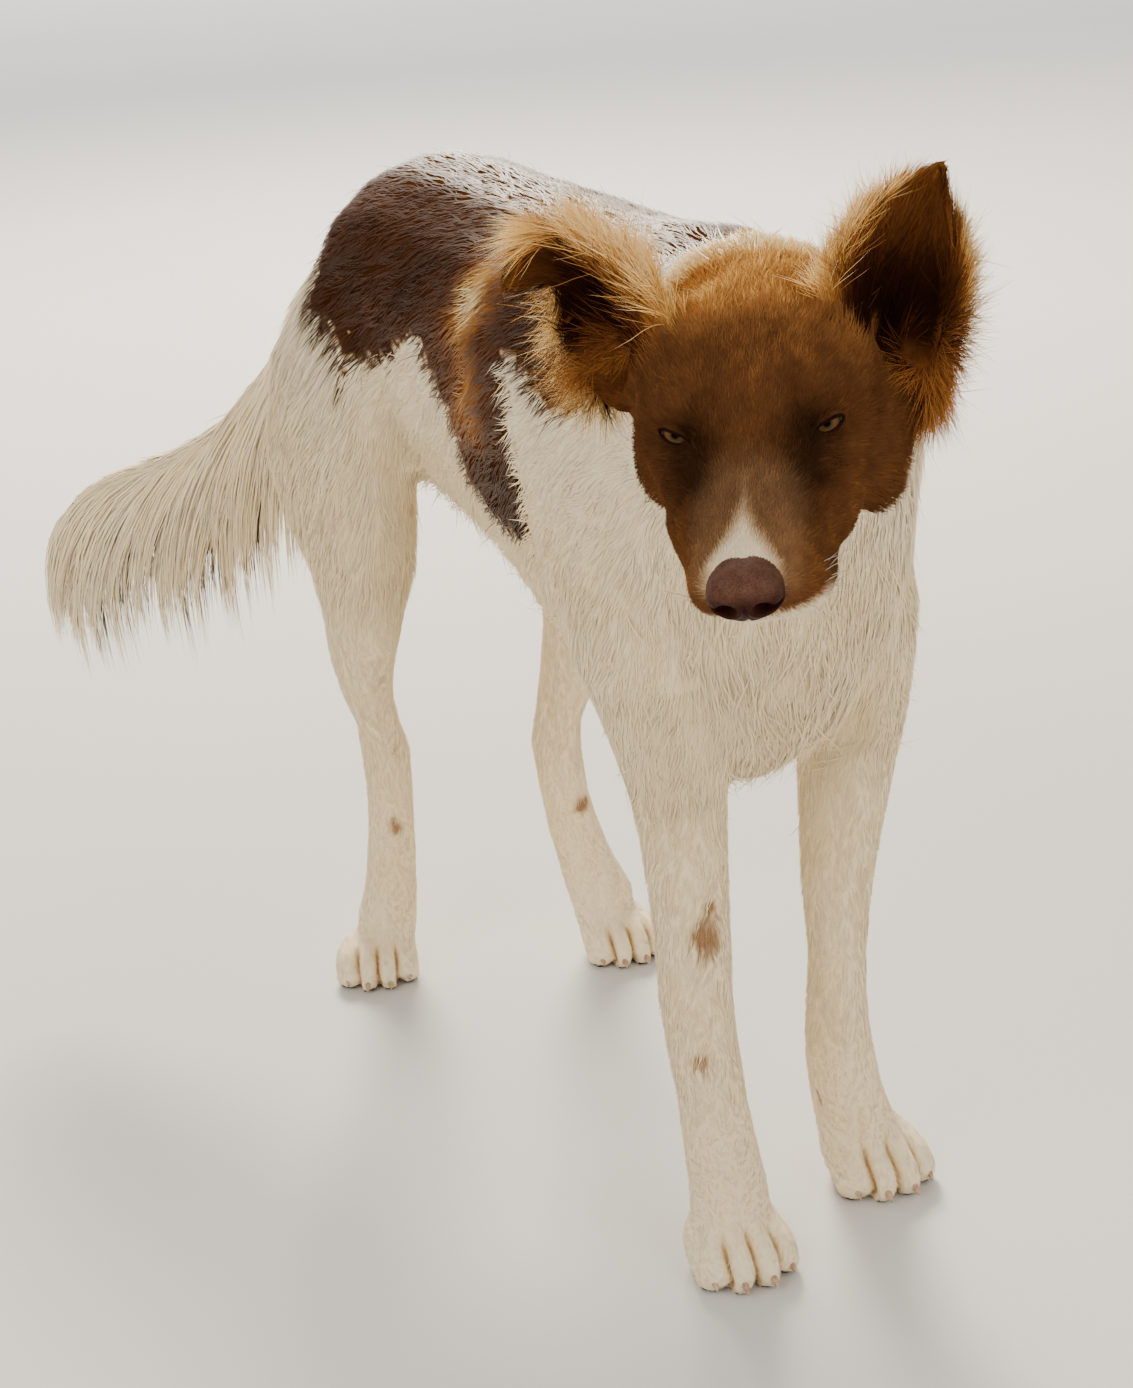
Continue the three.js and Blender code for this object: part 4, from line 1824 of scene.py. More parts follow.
class Combing:
    """The way the hair lies at each point of the skin, and how long it is."""

    def __init__(self, hide: Hide) -> None:
        self.surface = hide.surface
        self.points = hide.surface.points
        self.mm = self.points / MM
        self.local = HEAD.inside(self.points).T
        self.normals = hide.surface.spread(hide.surface.normals(), 2)
        self.parts = hide.parts
        self.left = hide.left

    def chosen(self, *parts: Part) -> Array:
        """Which points belong to these parts."""
        return among(self.parts, *parts)

    def lie(self) -> Array:
        """Combs the whole coat.

        Returns:
            The direction of the hair at each point, laid into the skin.
        """
        n = self.normals
        way = np.tile([[0.0, 1.0, -0.35]], (len(n), 1))
        forwards = np.array([0.0, -0.9, -1.6])
        front = ease(0.1, 0.7, -n[:, 1])[:, None]
        flank = ease(0.3, 0.9, np.abs(n[:, 0]))[:, None]
        throat = ease(0.0, 0.7, -n[:, 1] - 0.3 * n[:, 2])[:, None]
        back = ease(0.1, 0.7, n[:, 1])[:, None]
        trunk = way + flank * np.array([0.0, 0.0, -0.35]) + front * forwards
        neck = np.array([0.42, 0.86, -0.35]) + throat * forwards
        leg = np.array([0.0, 0.12, -1.0]) + back * np.array([0.0, 0.5, 0.0])
        for parts, flow in (((Part.TRUNK,), trunk), ((Part.NECK,), neck), (LEGS, leg)):
            chosen = self.chosen(*parts)
            way[chosen] = flow[chosen]
        way[self.chosen(Part.UPPER_ARM)] = (0.0, 0.35, -1.0)
        way[self.chosen(Part.THIGH)] = (0.0, 0.5, -1.0)
        low = ease(75 * MM, 40 * MM, self.points[:, 2])[:, None]
        for (part, left), turn in PAW_TURNS.items():
            chosen = self.chosen(part) & (self.left == left)
            angle = math.radians(turn)
            ahead = np.array([math.sin(angle), -math.cos(angle), 0.0])
            way[chosen] = (DOWN + low * (ahead * 1.3 + 0.35 * UP))[chosen]
        self.comb_head(way)
        for ear in EARS:
            self.comb_ear(way, ear)
        tail = self.chosen(Part.TAIL)
        _, _, heading = TAIL.near(self.points[tail])
        under = ease(0.5, -0.5, n[tail][:, 2])[:, None]
        way[tail] = heading + under * DOWN * 0.7
        way = flattened(way, n)
        for _ in range(10):
            way = flattened(self.surface.averaged(way), n)
        return way

    def comb_head(self, way: Array) -> None:
        """Combs the head: back from the nose, up the brow, and down the cheeks.

        Args:
            way: the direction of the hair at each point, changed on the head.
        """
        head = self.chosen(Part.HEAD)
        x, y, z = self.local[:, head]
        side = np.sign(x) * ease(4, 34, np.abs(x))
        splay = 0.45 - 0.35 * ease(20, 50, y) * ease(5, 20, z)
        flow = np.stack([splay * side, np.ones(len(x)), 0.35 * ease(-10, 10, z)], 1)
        low = ease(-12, -34, z)[:, None]
        cheek = ease(-30, 30, y)[:, None]
        flow += low * np.array([0.0, 0.0, -0.55])
        flow += cheek * np.stack([0.25 * side, np.zeros(len(x)), -0.5 * ease(10, -25, z)], 1)
        for eye in EYES:
            off = np.stack([x, y, z], 1) - eye.centre
            close = hill(np.linalg.norm(off, axis=1), 22)[:, None]
            flow += close * 1.2 * unit(off * np.array([1.0, 0.25, 1.0]))
        way[head] = HEAD.ways(flow)

    def comb_ear(self, way: Array, ear: Ear) -> None:
        """Combs an ear: towards its tip, and outwards at its rims.

        Args:
            way: the direction of the hair at each point, changed on the ear.
            ear: the ear.
        """
        chosen = self.chosen(ear.part)
        share, rim, outward, heading = ear.place(self.points[chosen])
        hang = ear.sag * rim + 3.8 * ear.base(share, outward)
        way[chosen] = heading + rim[:, None] * 1.4 * outward + hang[:, None] * DOWN

    def on_ears(self, measure: Callable[[Ear, Array, Array, Array], Array]) -> Array:
        """Measures the hair of both ears.

        Args:
            measure: tells how near a place is to what is measured, from its ear, how far along
                the ear it lies, how near its rim, and the way out to that rim.

        Returns:
            The nearness of each point of the skin, 0 off the ears.
        """
        near = np.zeros(len(self.points))
        for ear in EARS:
            chosen = self.chosen(ear.part)
            share, rim, outward, _ = ear.place(self.points[chosen])
            near[chosen] = measure(ear, share, rim, outward)
        return near

    def tassel(self) -> Array:
        """How near each point is to the longest hair of the ears, 0 to 1."""
        return self.on_ears(Ear.tufted)

    def rims(self) -> Array:
        """How near each point is to the rim of an ear, 0 to 1."""
        rims = self.on_ears(lambda ear, share, rim, outward: rim * ease(1.0, 0.9, share))
        return np.maximum(rims, self.tassel())

    def belly(self, low: float, high: float) -> Array:
        """How squarely each point of the trunk faces down between two limits, 0 to 1."""
        facing = ease(low, high, self.normals[:, 2]) * ease(-190, -60, self.mm[:, 1])
        return self.chosen(Part.TRUNK) * facing

    def elbow(self, low: float) -> Array:
        """How near each point is to the back of an elbow, 0 to 1, facing back beyond `low`."""
        facing = ease(low, 0.8, self.normals[:, 1]) * ease(130, 200, self.mm[:, 2])
        return self.chosen(Part.FOREARM) * facing

    def length(self) -> Array:
        """The length of the hair.

        Returns:
            The length at each point, in millimetres.
        """
        _, y, z = self.local
        n = self.normals
        length = by_part("length", self.parts)
        face = 3.2 + 1.6 * ease(-60, -15, y) + 2.7 * ease(0, 40, y)
        face += 9.0 * ease(38, 84, y) * ease(30, -20, z)
        face += 5.0 * ease(14, 30, z) * ease(20, 50, y)
        length = np.where(self.chosen(Part.HEAD), face, length)
        length += 12 * self.belly(-0.3, -0.85)
        length += 6 * (self.chosen(Part.TRUNK, Part.NECK) * ease(0.2, 0.8, -n[:, 1]))
        length += 9 * self.elbow(0.2)
        length += 14 * (self.chosen(Part.THIGH) * ease(0.1, 0.8, n[:, 1]))
        length = self.surface.spread(length, 30)
        extra = 7 * self.crown() + 6 * self.rims() + 9 * self.ruff() + 9 * self.tassel()
        extra += 6 * self.rims() * self.chosen(Part.EAR_RIGHT)
        return length + self.surface.spread(extra, 5)

    def lift(self) -> Array:
        """How far the hair stands up from the skin at its root, in degrees."""
        stand = 5 * self.nape() + 12 * self.crown() + 18 * self.rims() + 12 * self.ruff()
        return self.surface.spread(by_part("lift", self.parts) + stand, 6)

    def feather(self) -> Array:
        """Where the longest hair of the body hangs: chest, belly, elbows and buttocks.

        Returns:
            How thickly it grows at each point, 0 to 1.
        """
        facing = self.normals[:, 1]
        chest = self.chosen(Part.TRUNK, Part.NECK, Part.UPPER_ARM) * ease(0.1, 0.7, -facing)
        chest *= ease(430, 330, self.mm[:, 2])
        breech = self.chosen(Part.THIGH) * ease(0.2, 0.8, facing)
        return np.clip(self.belly(-0.25, -0.8) + 0.35 * chest + breech + self.elbow(0.3), 0, 1)

    def topknot(self) -> Array:
        """How near each point is to the gold hair between and behind the ears.

        Returns:
            The nearness, 0 to 1.
        """
        _, y, z = self.local
        bounds = ease(30, 52, y) * ease(132, 112, y) * ease(-14, 6, z)
        return self.chosen(Part.HEAD, Part.NECK) * bounds

    def whiskered(self) -> Array:
        """Where the whiskers grow on the upper lips, 0 to 1."""
        x, y, z = self.local
        return hill(y + 70, 9) * hill(z + 33, 5) * ease(11, 15, np.abs(x)) * self.chosen(Part.HEAD)

    def nape(self) -> Array:
        """How near each point is to the ridge of the neck behind the head, 0 to 1."""
        top = self.chosen(Part.NECK) * ease(0.2, 0.7, self.normals[:, 2])
        return top * ease(-215, -270, self.mm[:, 1])

    def ruff(self) -> Array:
        """How near each point is to the lower edge of a cheek, where the hair is long, 0 to 1."""
        x, y, z = self.local
        return self.chosen(Part.HEAD) * ease(-18, 12, y) * ease(-12, -36, z) * ease(24, 40, np.abs(x))

    def crown(self) -> Array:
        """How near each point is to the crown of the head, 0 to 1."""
        _, y, z = self.local
        return self.chosen(Part.HEAD) * ease(38, 70, y) * ease(0, 22, z)


# ---- The coat ----

@dataclass(frozen=True)
class Lock:
    """How the tufts of one piece of coat are cut: millimetres, degrees and shares."""

    rings: int = 1
    width: float = 1.0
    depth: float = 0.3
    lift: float = 1.0
    settle: float = 2.0
    scatter: float = 0.10
    swirl: float = 0.14
    gather: float = 0.45
    tufts: int = 16
    droop: float = 0.0
    curl: float = 0.0
    wisps: float = 0.01
    soften: float = 0.92
    patchy: float = 0.035
    gain: float = 0.6
    longer: float = 1.0
    free: bool = False
    mixed: bool = False
    pale: float = 0.0


@dataclass
class Roots:
    """Where tufts grow, with all that each needs to know of its place."""

    at: Array
    normal: Array
    lie: Array
    length: Array
    lift: Array
    liver: Array
    tone: Array
    patch: Array

    def __len__(self) -> int:
        """How many there are."""
        return len(self.at)


class Cover(Enum):
    """Where on its parts of the body a piece of the coat grows."""

    EVEN = "all over"
    FEATHER = "where the body's longest hair hangs"
    TOPKNOT = "between and behind the ears"
    OFF_TOPKNOT = "away from the topknot"
    RIMS = "at the rims of the ears"
    LIPS = "on the upper lips"


class Hair(Enum):
    """The kinds of hair, each with its finish and its slot."""

    SOFT = ("hair", "coat_white")
    FINE = ("fine_hair", "coat_liver")
    FRINGE = ("fringe", "coat_liver")
    WHISKER = ("whisker", "coat_white")


@dataclass(frozen=True)
class Tress:
    """One piece of the coat: where it grows, how many tufts it has, and how they are cut."""

    name: str
    parts: tuple[Part, ...]
    count: int
    seed: int
    lock: Lock
    hair: Hair = Hair.SOFT
    cover: Cover = Cover.EVEN


FACE_LOCK = Lock(
    width=0.3, depth=0.12, settle=1.0, swirl=0.06, gather=0.15, wisps=0.002, soften=0.95,
    patchy=0.045, gain=0.4, mixed=True)
NECK_LOCK = Lock(rings=2, width=0.75, depth=0.22, lift=0.85, curl=0.05, soften=0.96, gain=0.35)
TRUNK_LOCK = Lock(width=0.7, depth=0.2)
THIGH_LOCK = Lock(width=0.7, depth=0.2, lift=0.85, soften=0.95, gain=0.4)
LEG_LOCK = Lock(
    width=0.6, depth=0.18, lift=0.7, scatter=0.08, soften=0.97, gain=0.35, mixed=True)
PAW_LOCK = Lock(
    width=0.45, depth=0.15, lift=0.7, swirl=0.06, wisps=0.0, soften=0.97, gain=0.35, mixed=True)
FEATHER_LOCK = Lock(
    rings=3, width=0.6, depth=0.25, settle=5, scatter=0.12, swirl=0.2, gather=0.6, tufts=22,
    droop=0.35, curl=0.16, wisps=0.04, soften=0.85, longer=1.25, free=True)
EAR_LOCK = Lock(rings=2, width=0.45, depth=0.16, settle=3, scatter=0.12, curl=0.06)
KNOT_LOCK = Lock(
    rings=2, width=0.4, depth=0.16, settle=4, scatter=0.16, swirl=0.12, gather=0.3, curl=0.1,
    patchy=0.06, gain=0.9)
# The fringe's pale share is painted rim light.
FRINGE_LOCK = Lock(
    rings=3, width=0.25, depth=0.13, settle=10, scatter=0.28, swirl=0.26, gather=0.3, tufts=18,
    curl=0.42, wisps=0.05, soften=0.6, gain=2.0, longer=1.12, free=True, pale=0.05)
WHISKER_LOCK = Lock(
    rings=3, width=0.34, depth=0.3, settle=16, scatter=0.25, swirl=0.0, gather=0.0, droop=0.25,
    soften=0.2, longer=6.5, free=True)
HEAD_ONLY = (Part.HEAD,)
HEAD_AND_NECK = (Part.HEAD, Part.NECK)
FEATHERED = (Part.TRUNK, Part.NECK, *THIGHS, Part.FOREARM)
TRESSES = (
    Tress("coat_neck", (Part.NECK,), 9500, 103, NECK_LOCK, cover=Cover.OFF_TOPKNOT),
    Tress("coat_trunk", (Part.TRUNK,), 20000, 104, TRUNK_LOCK),
    Tress("coat_trunk_over", (Part.TRUNK,), 16000, 105, TRUNK_LOCK),
    Tress("coat_thighs", THIGHS, 21000, 106, THIGH_LOCK),
    Tress("coat_legs", LEGS, 16500, 107, LEG_LOCK),
    Tress("coat_paws", PAWS, 11000, 108, PAW_LOCK),
    Tress("coat_feather", FEATHERED, 4200, 113, FEATHER_LOCK, cover=Cover.FEATHER),
    Tress("coat_tail", (Part.TAIL,), 2500, 109, Lock(rings=2, width=1.3, depth=0.5)),
    Tress("coat_face", HEAD_ONLY, 30000, 101, FACE_LOCK, Hair.FINE),
    Tress("coat_face_over", HEAD_ONLY, 24000, 111, FACE_LOCK, Hair.FINE),
    Tress("coat_ears", BOTH_EARS, 8000, 102, EAR_LOCK, Hair.FINE),
    Tress("coat_crown", HEAD_AND_NECK, 5000, 115, KNOT_LOCK, Hair.FINE, Cover.TOPKNOT),
    Tress("coat_ear_fringe", BOTH_EARS, 9000, 112, FRINGE_LOCK, Hair.FRINGE, Cover.RIMS),
    Tress("whiskers", HEAD_ONLY, 34, 114, WHISKER_LOCK, Hair.WHISKER, Cover.LIPS),
)


class Coat:
    """The dog's coat: solid tufts over the whole skin, in pieces by part of the body."""

    def __init__(self, hide: Hide, marks: Markings, skin: Piece) -> None:
        self.hide = hide
        self.surface = hide.surface
        combing = Combing(hide)
        self.normals = hide.surface.spread(hide.surface.normals(), 7)
        self.lie = combing.lie()
        self.length = combing.length()
        self.lift = combing.lift()
        topknot = combing.topknot()
        self.covers = {
            Cover.EVEN: np.ones(len(topknot)),
            Cover.FEATHER: combing.feather(),
            Cover.TOPKNOT: topknot,
            Cover.OFF_TOPKNOT: 1 - 0.9 * topknot,
            Cover.RIMS: combing.rims()**1.5,
            Cover.LIPS: combing.whiskered(),
        }
        self.liver = marks.liver()
        self.frost = marks.frost()
        # The white hair is darkened by the painted shade in the toe clefts.
        cream = marks.cream() - hide.between_toes
        self.tones = np.stack([cream, marks.tone(combing.normals)], 1)
        self.areas = self.surface.areas()
        self.corner_maps = read_map(skin)
        self.tree = BVHTree.FromPolygons(self.surface.points.tolist(), self.surface.triangles.tolist())

    def roots(self, rng: np.random.Generator, count: int, density: Array, mixed: bool = False) -> Roots:
        """Scatters roots over the skin, evenly for its density.

        Args:
            rng: the piece's own source of chance.
            count: how many tufts.
            density: how thickly they stand at each point of the skin.
            mixed: whether a tuft at the edge of a marking is of a colour between the two.

        Returns:
            The roots.
        """
        triangles = self.surface.triangles
        weight = np.cumsum(self.areas * density[triangles].mean(1))
        steps = (np.arange(count) + rng.random(count)) / count * weight[-1]
        chosen = np.minimum(np.searchsorted(weight, steps), len(triangles) - 1)
        a, b = rng.random(count), rng.random(count)
        over = a + b > 1
        a, b = np.where(over, 1 - a, a), np.where(over, 1 - b, b)
        share = np.stack([1 - a - b, a, b], 1)
        corners = triangles[chosen]

        def at(values: Array) -> Array:
            """A field of the skin at each root."""
            shape = share.reshape(count, 3, *([1] * (values.ndim - 1)))
            return (values[corners] * shape).sum(1)

        normal = unit(at(self.normals))
        liver, chance = at(self.liver), rng.uniform(0.1, 0.9, count)
        between = 4 * liver * (1 - liver) * (0.5 - chance)
        liver = np.clip(liver + 0.35 * between, 0, 1) if mixed else liver > chance
        liver = liver * (1 - at(self.frost))
        tones = at(self.tones)
        tone = tones[:, 0] + liver * (tones[:, 1] - tones[:, 0])
        patch = (self.corner_maps[chosen] * share[:, :, None]).sum(1)
        return Roots(
            at=at(self.surface.points), normal=normal, lie=flattened(at(self.lie), normal),
            length=at(self.length) * MM, lift=at(self.lift), liver=liver, tone=tone, patch=patch)

    def piece(self, tress: Tress) -> Piece:
        """Grows one piece of the coat.

        Args:
            tress: where it grows and how it is cut.

        Returns:
            The piece, without a material.
        """
        rng = np.random.default_rng(tress.seed)
        cover = among(self.hide.parts, *tress.parts) * (1 - np.clip(self.hide.bare * 1.5, 0, 1))
        roots = self.roots(rng, tress.count, cover * self.covers[tress.cover], tress.lock.mixed)
        return tufts(tress.name, roots, tress.lock, rng, None if tress.lock.free else self.tree)

    def grow(self, finishes: Finishes) -> None:
        """Grows and dresses every piece of the coat.

        Args:
            finishes: the materials.
        """
        for tress in TRESSES:
            finish, slot = tress.hair.value
            shown(self.piece(tress), getattr(finishes, finish))
        Plume().build(self, finishes.hair)


def read_map(skin: Piece) -> Array:
    """Reads the skin's unwrap.

    Args:
        skin: the skin, all triangles.

    Returns:
        The place on the map of each corner of each triangle.
    """
    layer = skin.data.uv_layers[BAKE_MAP]
    flat = np.empty(len(skin.data.loops) * 2, np.float32)
    layer.data.foreach_get("uv", flat)
    return flat.reshape(-1, 3, 2).astype(float)


def laid(tree: BVHTree, places: Array, low: Array, high: Array) -> Array:
    """Brings each place to a height above the skin between its two limits.

    Args:
        tree: the skin.
        places: the places, metres.
        low: the least height of each, metres.
        high: the greatest height of each, metres.

    Returns:
        The places moved.
    """
    found = [tree.find_nearest(place)[:2] for place in places.tolist()]
    foot = np.array([hit for hit, _ in found])
    normal = np.array([way for _, way in found])
    height = dot(places - foot, normal)
    return foot + normal * np.clip(height, low, high)[:, None]


def tufts(name: str, roots: Roots, lock: Lock, rng: np.random.Generator,
          tree: BVHTree | None = None) -> Piece:
    """Makes a tuft at each root: a thin three-sided blade that lies along the coat.

    Each tuft starts at a point under the skin, swells to its width, and runs out to a tip that
    leans towards the middle of the lock it belongs to.

    Args:
        name: the piece's name.
        roots: where the tufts grow.
        lock: how they are cut.
        rng: the piece's source of chance.
        tree: the skin that the tufts lie on, for those that are not free of it.

    Returns:
        The piece, with its normals softened towards the skin's and its fields set.
    """
    count = len(roots)
    stray = rng.random(count) < lock.wisps
    length = lock.longer * roots.length * rng.uniform(0.75, 1.2, count) * np.where(stray, 1.3, 1.0)
    side = np.cross(roots.normal, roots.lie)
    swirl = Ripple(26 * MM, 31).at(roots.at) + 0.6 * Ripple(9 * MM, 32).at(roots.at)
    turn = lock.swirl * swirl + lock.scatter * rng.normal(size=count) * np.where(stray, 3.0, 1.0)
    way = unit(roots.lie + turn[:, None] * side)
    side = np.cross(roots.normal, way)
    centre, member = lock_centres(roots.at, lock.tufts, rng)
    lean = lock.gather * dot(centre - roots.at, side)
    rise = np.radians(roots.lift) * lock.lift * rng.uniform(0.7, 1.35, count)
    rise = rise * (1 + 0.3 * Ripple(14 * MM, 33).at(roots.at)) + np.where(stray, 0.22, 0)
    settle = math.radians(lock.settle) + 0.03 * rng.normal(size=count) + np.where(stray, 0.12, 0)
    bend = lock.curl * rng.normal(size=count)
    level = rng.random(count)
    stops = np.linspace(0, 1, lock.rings + 2) ** 1.15
    sunk = np.minimum(0.7, 0.05 * length / MM) * MM
    place = roots.at - sunk[:, None] * roots.normal
    spine = [place]
    for start, stop in zip(stops[:-1], stops[1:]):
        s = (start + stop) / 2
        climb = rise * (1 - s) ** 1.2 + settle * s
        heading = np.cos(climb)[:, None] * way + np.sin(climb)[:, None] * roots.normal
        heading = heading + (bend * math.sin(2.6 * s))[:, None] * side + lock.droop * s * DOWN
        step = unit(heading) * (length * (stop - start))[:, None]
        place = place + step + (lean * (stop**2 - start**2))[:, None] * side
        if tree is not None:
            low = (0.2 + 0.7 * stop * level) * MM
            high = np.where(stray, 1.0, 0.35 * MM + 0.8 * stop * length * np.sin(rise))
            place = laid(tree, place, low, np.maximum(high, low))
            place[:, 2] = np.maximum(place[:, 2], 0.6 * MM)
        spine.append(place)
    chance = 0.6 * rng.normal(size=len(member))[member] + 0.6 * rng.normal(size=count)
    return blades(name, np.stack(spine, 1), stops, roots, lock, chance * lock.patchy, rng)


def blades(name: str, spines: Array, stops: Array, roots: Roots, lock: Lock, shade: Array,
           rng: np.random.Generator) -> Piece:
    """Makes the solid blades along a set of spines.

    Args:
        name: the piece's name.
        spines: for each blade its points from root to tip.
        stops: how far along each of those points lies, 0 to 1.
        roots: the places they grow from.
        lock: how they are cut.
        shade: how much paler than its place each blade is.
        rng: the piece's source of chance.

    Returns:
        The piece.
    """
    count, rings = len(spines), lock.rings
    wide = lock.width * MM / 2 * rng.uniform(0.75, 1.3, count)
    thick = lock.depth * MM * rng.uniform(0.8, 1.2, count)
    size = 3 * rings + 2
    points = np.empty((count, size, 3))
    normals = np.empty_like(points)
    along = np.empty(size)
    points[:, 0], points[:, -1] = spines[:, 0], spines[:, -1]
    normals[:, 0] = normals[:, -1] = roots.normal
    along[0], along[-1] = 0.0, 1.0
    for ring in range(rings):
        s = stops[ring + 1]
        taper = min(1.0, s / 0.3) ** 0.5 * (1 - max(0.0, s - 0.35) / 0.65) ** 0.75
        heading = unit(spines[:, ring + 2] - spines[:, ring])
        across = unit(np.cross(roots.normal, heading) + 1e-9)
        over = np.cross(heading, across)
        for corner, (out, high) in enumerate(((-1.0, 0.0), (1.0, 0.0), (0.0, 1.0))):
            k = 1 + 3 * ring + corner
            shift = (out * wide * taper)[:, None] * across + (high * thick * taper)[:, None] * over
            points[:, k] = spines[:, ring + 1] + shift
            facing = unit(out * across + (0.35 + high) * over)
            normals[:, k] = unit((1 - lock.soften) * facing + lock.soften * roots.normal)
            along[k] = s
    pattern = blade_faces(rings)
    faces = (pattern[None] + (np.arange(count) * size)[:, None, None]).reshape(-1, 3)
    piece = mesh_object(name, points.reshape(-1, 3), faces)
    piece.data.normals_split_custom_set_from_vertices(normals.reshape(-1, 3).astype(np.float32))
    # A lock's pale share lifts its whole piece; on the ear fringe it is painted rim light.
    own = shade * (0.5 + 0.5 * roots.liver) + lock.pale
    gain = lock.gain * np.where(roots.liver > 0.5, 0.14, 0.06)
    tone = (roots.tone + own)[:, None] + gain[:, None] * (along[None] - 0.5)
    set_field(piece.data, "liver", np.repeat(roots.liver, size))
    set_field(piece.data, "tone", np.clip(tone, 0, 1).ravel())
    offsets = np.array([0.5] + [0.0, 1.0, 0.5] * rings + [0.5]) - 0.5
    patch = roots.patch[:, None] + 0.003 * np.stack([offsets, along - 0.5], 1)[None]
    layer = piece.data.uv_layers.new(name=BAKE_MAP)
    layer.data.foreach_set("uv", patch.reshape(-1, 2)[faces.ravel()].astype(np.float32).ravel())
    return piece


def blade_faces(rings: int) -> Array:
    """The faces of one tuft.

    Args:
        rings: how many three-cornered rings it has between its two points.

    Returns:
        Its triangles.
    """
    sides = ((0, 1), (1, 2), (2, 0))
    last = 3 * rings + 1
    faces = [(0, 1 + b, 1 + a) for a, b in sides]
    for ring in range(rings - 1):
        low, high = 1 + 3 * ring, 4 + 3 * ring
        for a, b in sides:
            faces += [(low + a, low + b, high + b), (low + a, high + b, high + a)]
    faces += [(last - 3 + a, last - 3 + b, last) for a, b in sides]
    return np.array(faces)


def lock_centres(places: Array, tufts_each: int, rng: np.random.Generator) -> tuple[Array, Array]:
    """Shares the tufts out among locks.

    Args:
        places: the tufts' roots.
        tufts_each: how many tufts a lock has, about.
        rng: the piece's source of chance.

    Returns:
        For each tuft, its lock's middle and its lock's number.
    """
    chosen = rng.choice(len(places), max(1, len(places) // tufts_each), replace=False)
    tree = KDTree(len(chosen))
    for number, index in enumerate(chosen):
        tree.insert(places[index], number)
    tree.balance()
    member = np.array([tree.find(place)[1] for place in places])
    return places[chosen][member], member


# ---- Assembly ----

def build_skin(hide: Hide, marks: Markings, finish: Material) -> Piece:
    """Makes the skin one piece, with its fields and its unwrap.

    Args:
        hide: the skin's shape.
        marks: its markings.
        finish: its material.

    Returns:
        The piece.
    """
    skin = mesh_object("skin", hide.surface.points, hide.surface.triangles)
    liver = marks.liver() * (1 - marks.frost())
    # The skin is 0.08 paler than the white hair, painted light that lifts the shade between the tufts,
    # and darkened by the painted shade in the toe clefts.
    pale = marks.cream() + 0.08 - hide.between_toes
    dark = marks.tone(hide.surface.normals()) - 0.02
    set_field(skin.data, "liver", liver)
    set_field(skin.data, "tone", pale + liver * (dark - pale))
    set_field(skin.data, "bare", hide.bare)
    unwrap(skin)
    shown(skin, finish, FLESH)
    return skin


def unwrap(piece: Piece) -> None:
    """Unwraps a piece by the shape of its own surface.

    Args:
        piece: the piece, which gets the map.
    """
    piece.data.uv_layers.new(name=BAKE_MAP)
    bpy.context.view_layer.objects.active = piece
    piece.select_set(True)
    bpy.ops.object.mode_set(mode="EDIT")
    bpy.ops.mesh.select_all(action="SELECT")
    bpy.ops.uv.smart_project(angle_limit=math.radians(66), island_margin=0.0015)
    bpy.ops.object.mode_set(mode="OBJECT")
    piece.select_set(False)


# ---- Nose, claws and the tail's long hair ----

@dataclass(frozen=True)
class Nose:
    """The bare leather of the nose, a rounded wedge. Millimetres in the head's own frame."""

    centre: tuple[float, float, float] = (0.3, -83.6, -23.4)
    half: tuple[float, float, float] = (15.0, 12.4, 12.4)
    rings: int = 72
    sides: int = 120

    def shape(self, across: Array, ahead: Array, over: Array) -> tuple[Array, Array]:
        """Models the nose from a unit ball.

        Args:
            across: the ball's points along X.
            ahead: the ball's points along Y, the front below zero.
            over: the ball's points along Z.

        Returns:
            The modelled points round the nose's middle, and how deep each lies in a nostril.
        """
        x = self.half[0] * np.sign(across) * np.abs(across) ** 0.80
        y = self.half[1] * np.sign(ahead) * np.abs(ahead) ** 0.62
        z = self.half[2] * np.sign(over) * np.abs(over) ** 0.74
        front = ease(0.1, -0.35, ahead)
        x = x * (1 - 0.40 * ease(-2, -12, z) - 0.10 * ease(3, 12, z))
        y = y + 0.40 * np.maximum(-z + 1.0, 0) + 0.12 * np.maximum(z - 5, 0)
        ax = np.abs(x)
        comma = np.sqrt(((ax - 7.0) / 3.4) ** 2 + ((z + 1.8) / 3.0) ** 2)
        slit = np.sqrt(((ax - 11.6) / 4.6) ** 2 + ((z + 2.4 - 0.25 * (ax - 11.2)) / 1.25) ** 2)
        pit = np.maximum(np.exp(-comma**4), 0.85 * np.exp(-slit**4)) * front
        wing = hill(comma - 1.55, 0.35) * front
        y = y + 6.0 * pit - 0.9 * wing
        y = y + 1.5 * hill(x, 0.9) * ease(3, -2, z) * front
        z = z - 0.5 * hill(x, 2.0) * ease(4, 9, z)
        return np.stack([x, y, z], 1), pit

    def build(self, finish: Material) -> None:
        """Makes the nose.

        Args:
            finish: its material.
        """
        _, _, sphere, faces = globe(self.rings, self.sides)
        across, behind, over = sphere.T
        local, pit = self.shape(across, -behind, over)
        points = HEAD.outside(local + np.array(self.centre))
        piece = mesh_object("nose_leather", points, oriented(points, faces))
        # Painted shade: darker in the nostrils and over the lower front of the nose.
        under = 0.9 * ease(7.0, 0.0, local[:, 2]) * ease(1.0, -4.0, local[:, 1])
        set_field(piece.data, "hollow", np.clip(np.maximum(pit * 1.2, under), 0, 1))
        shown(piece, finish, ["nose"])


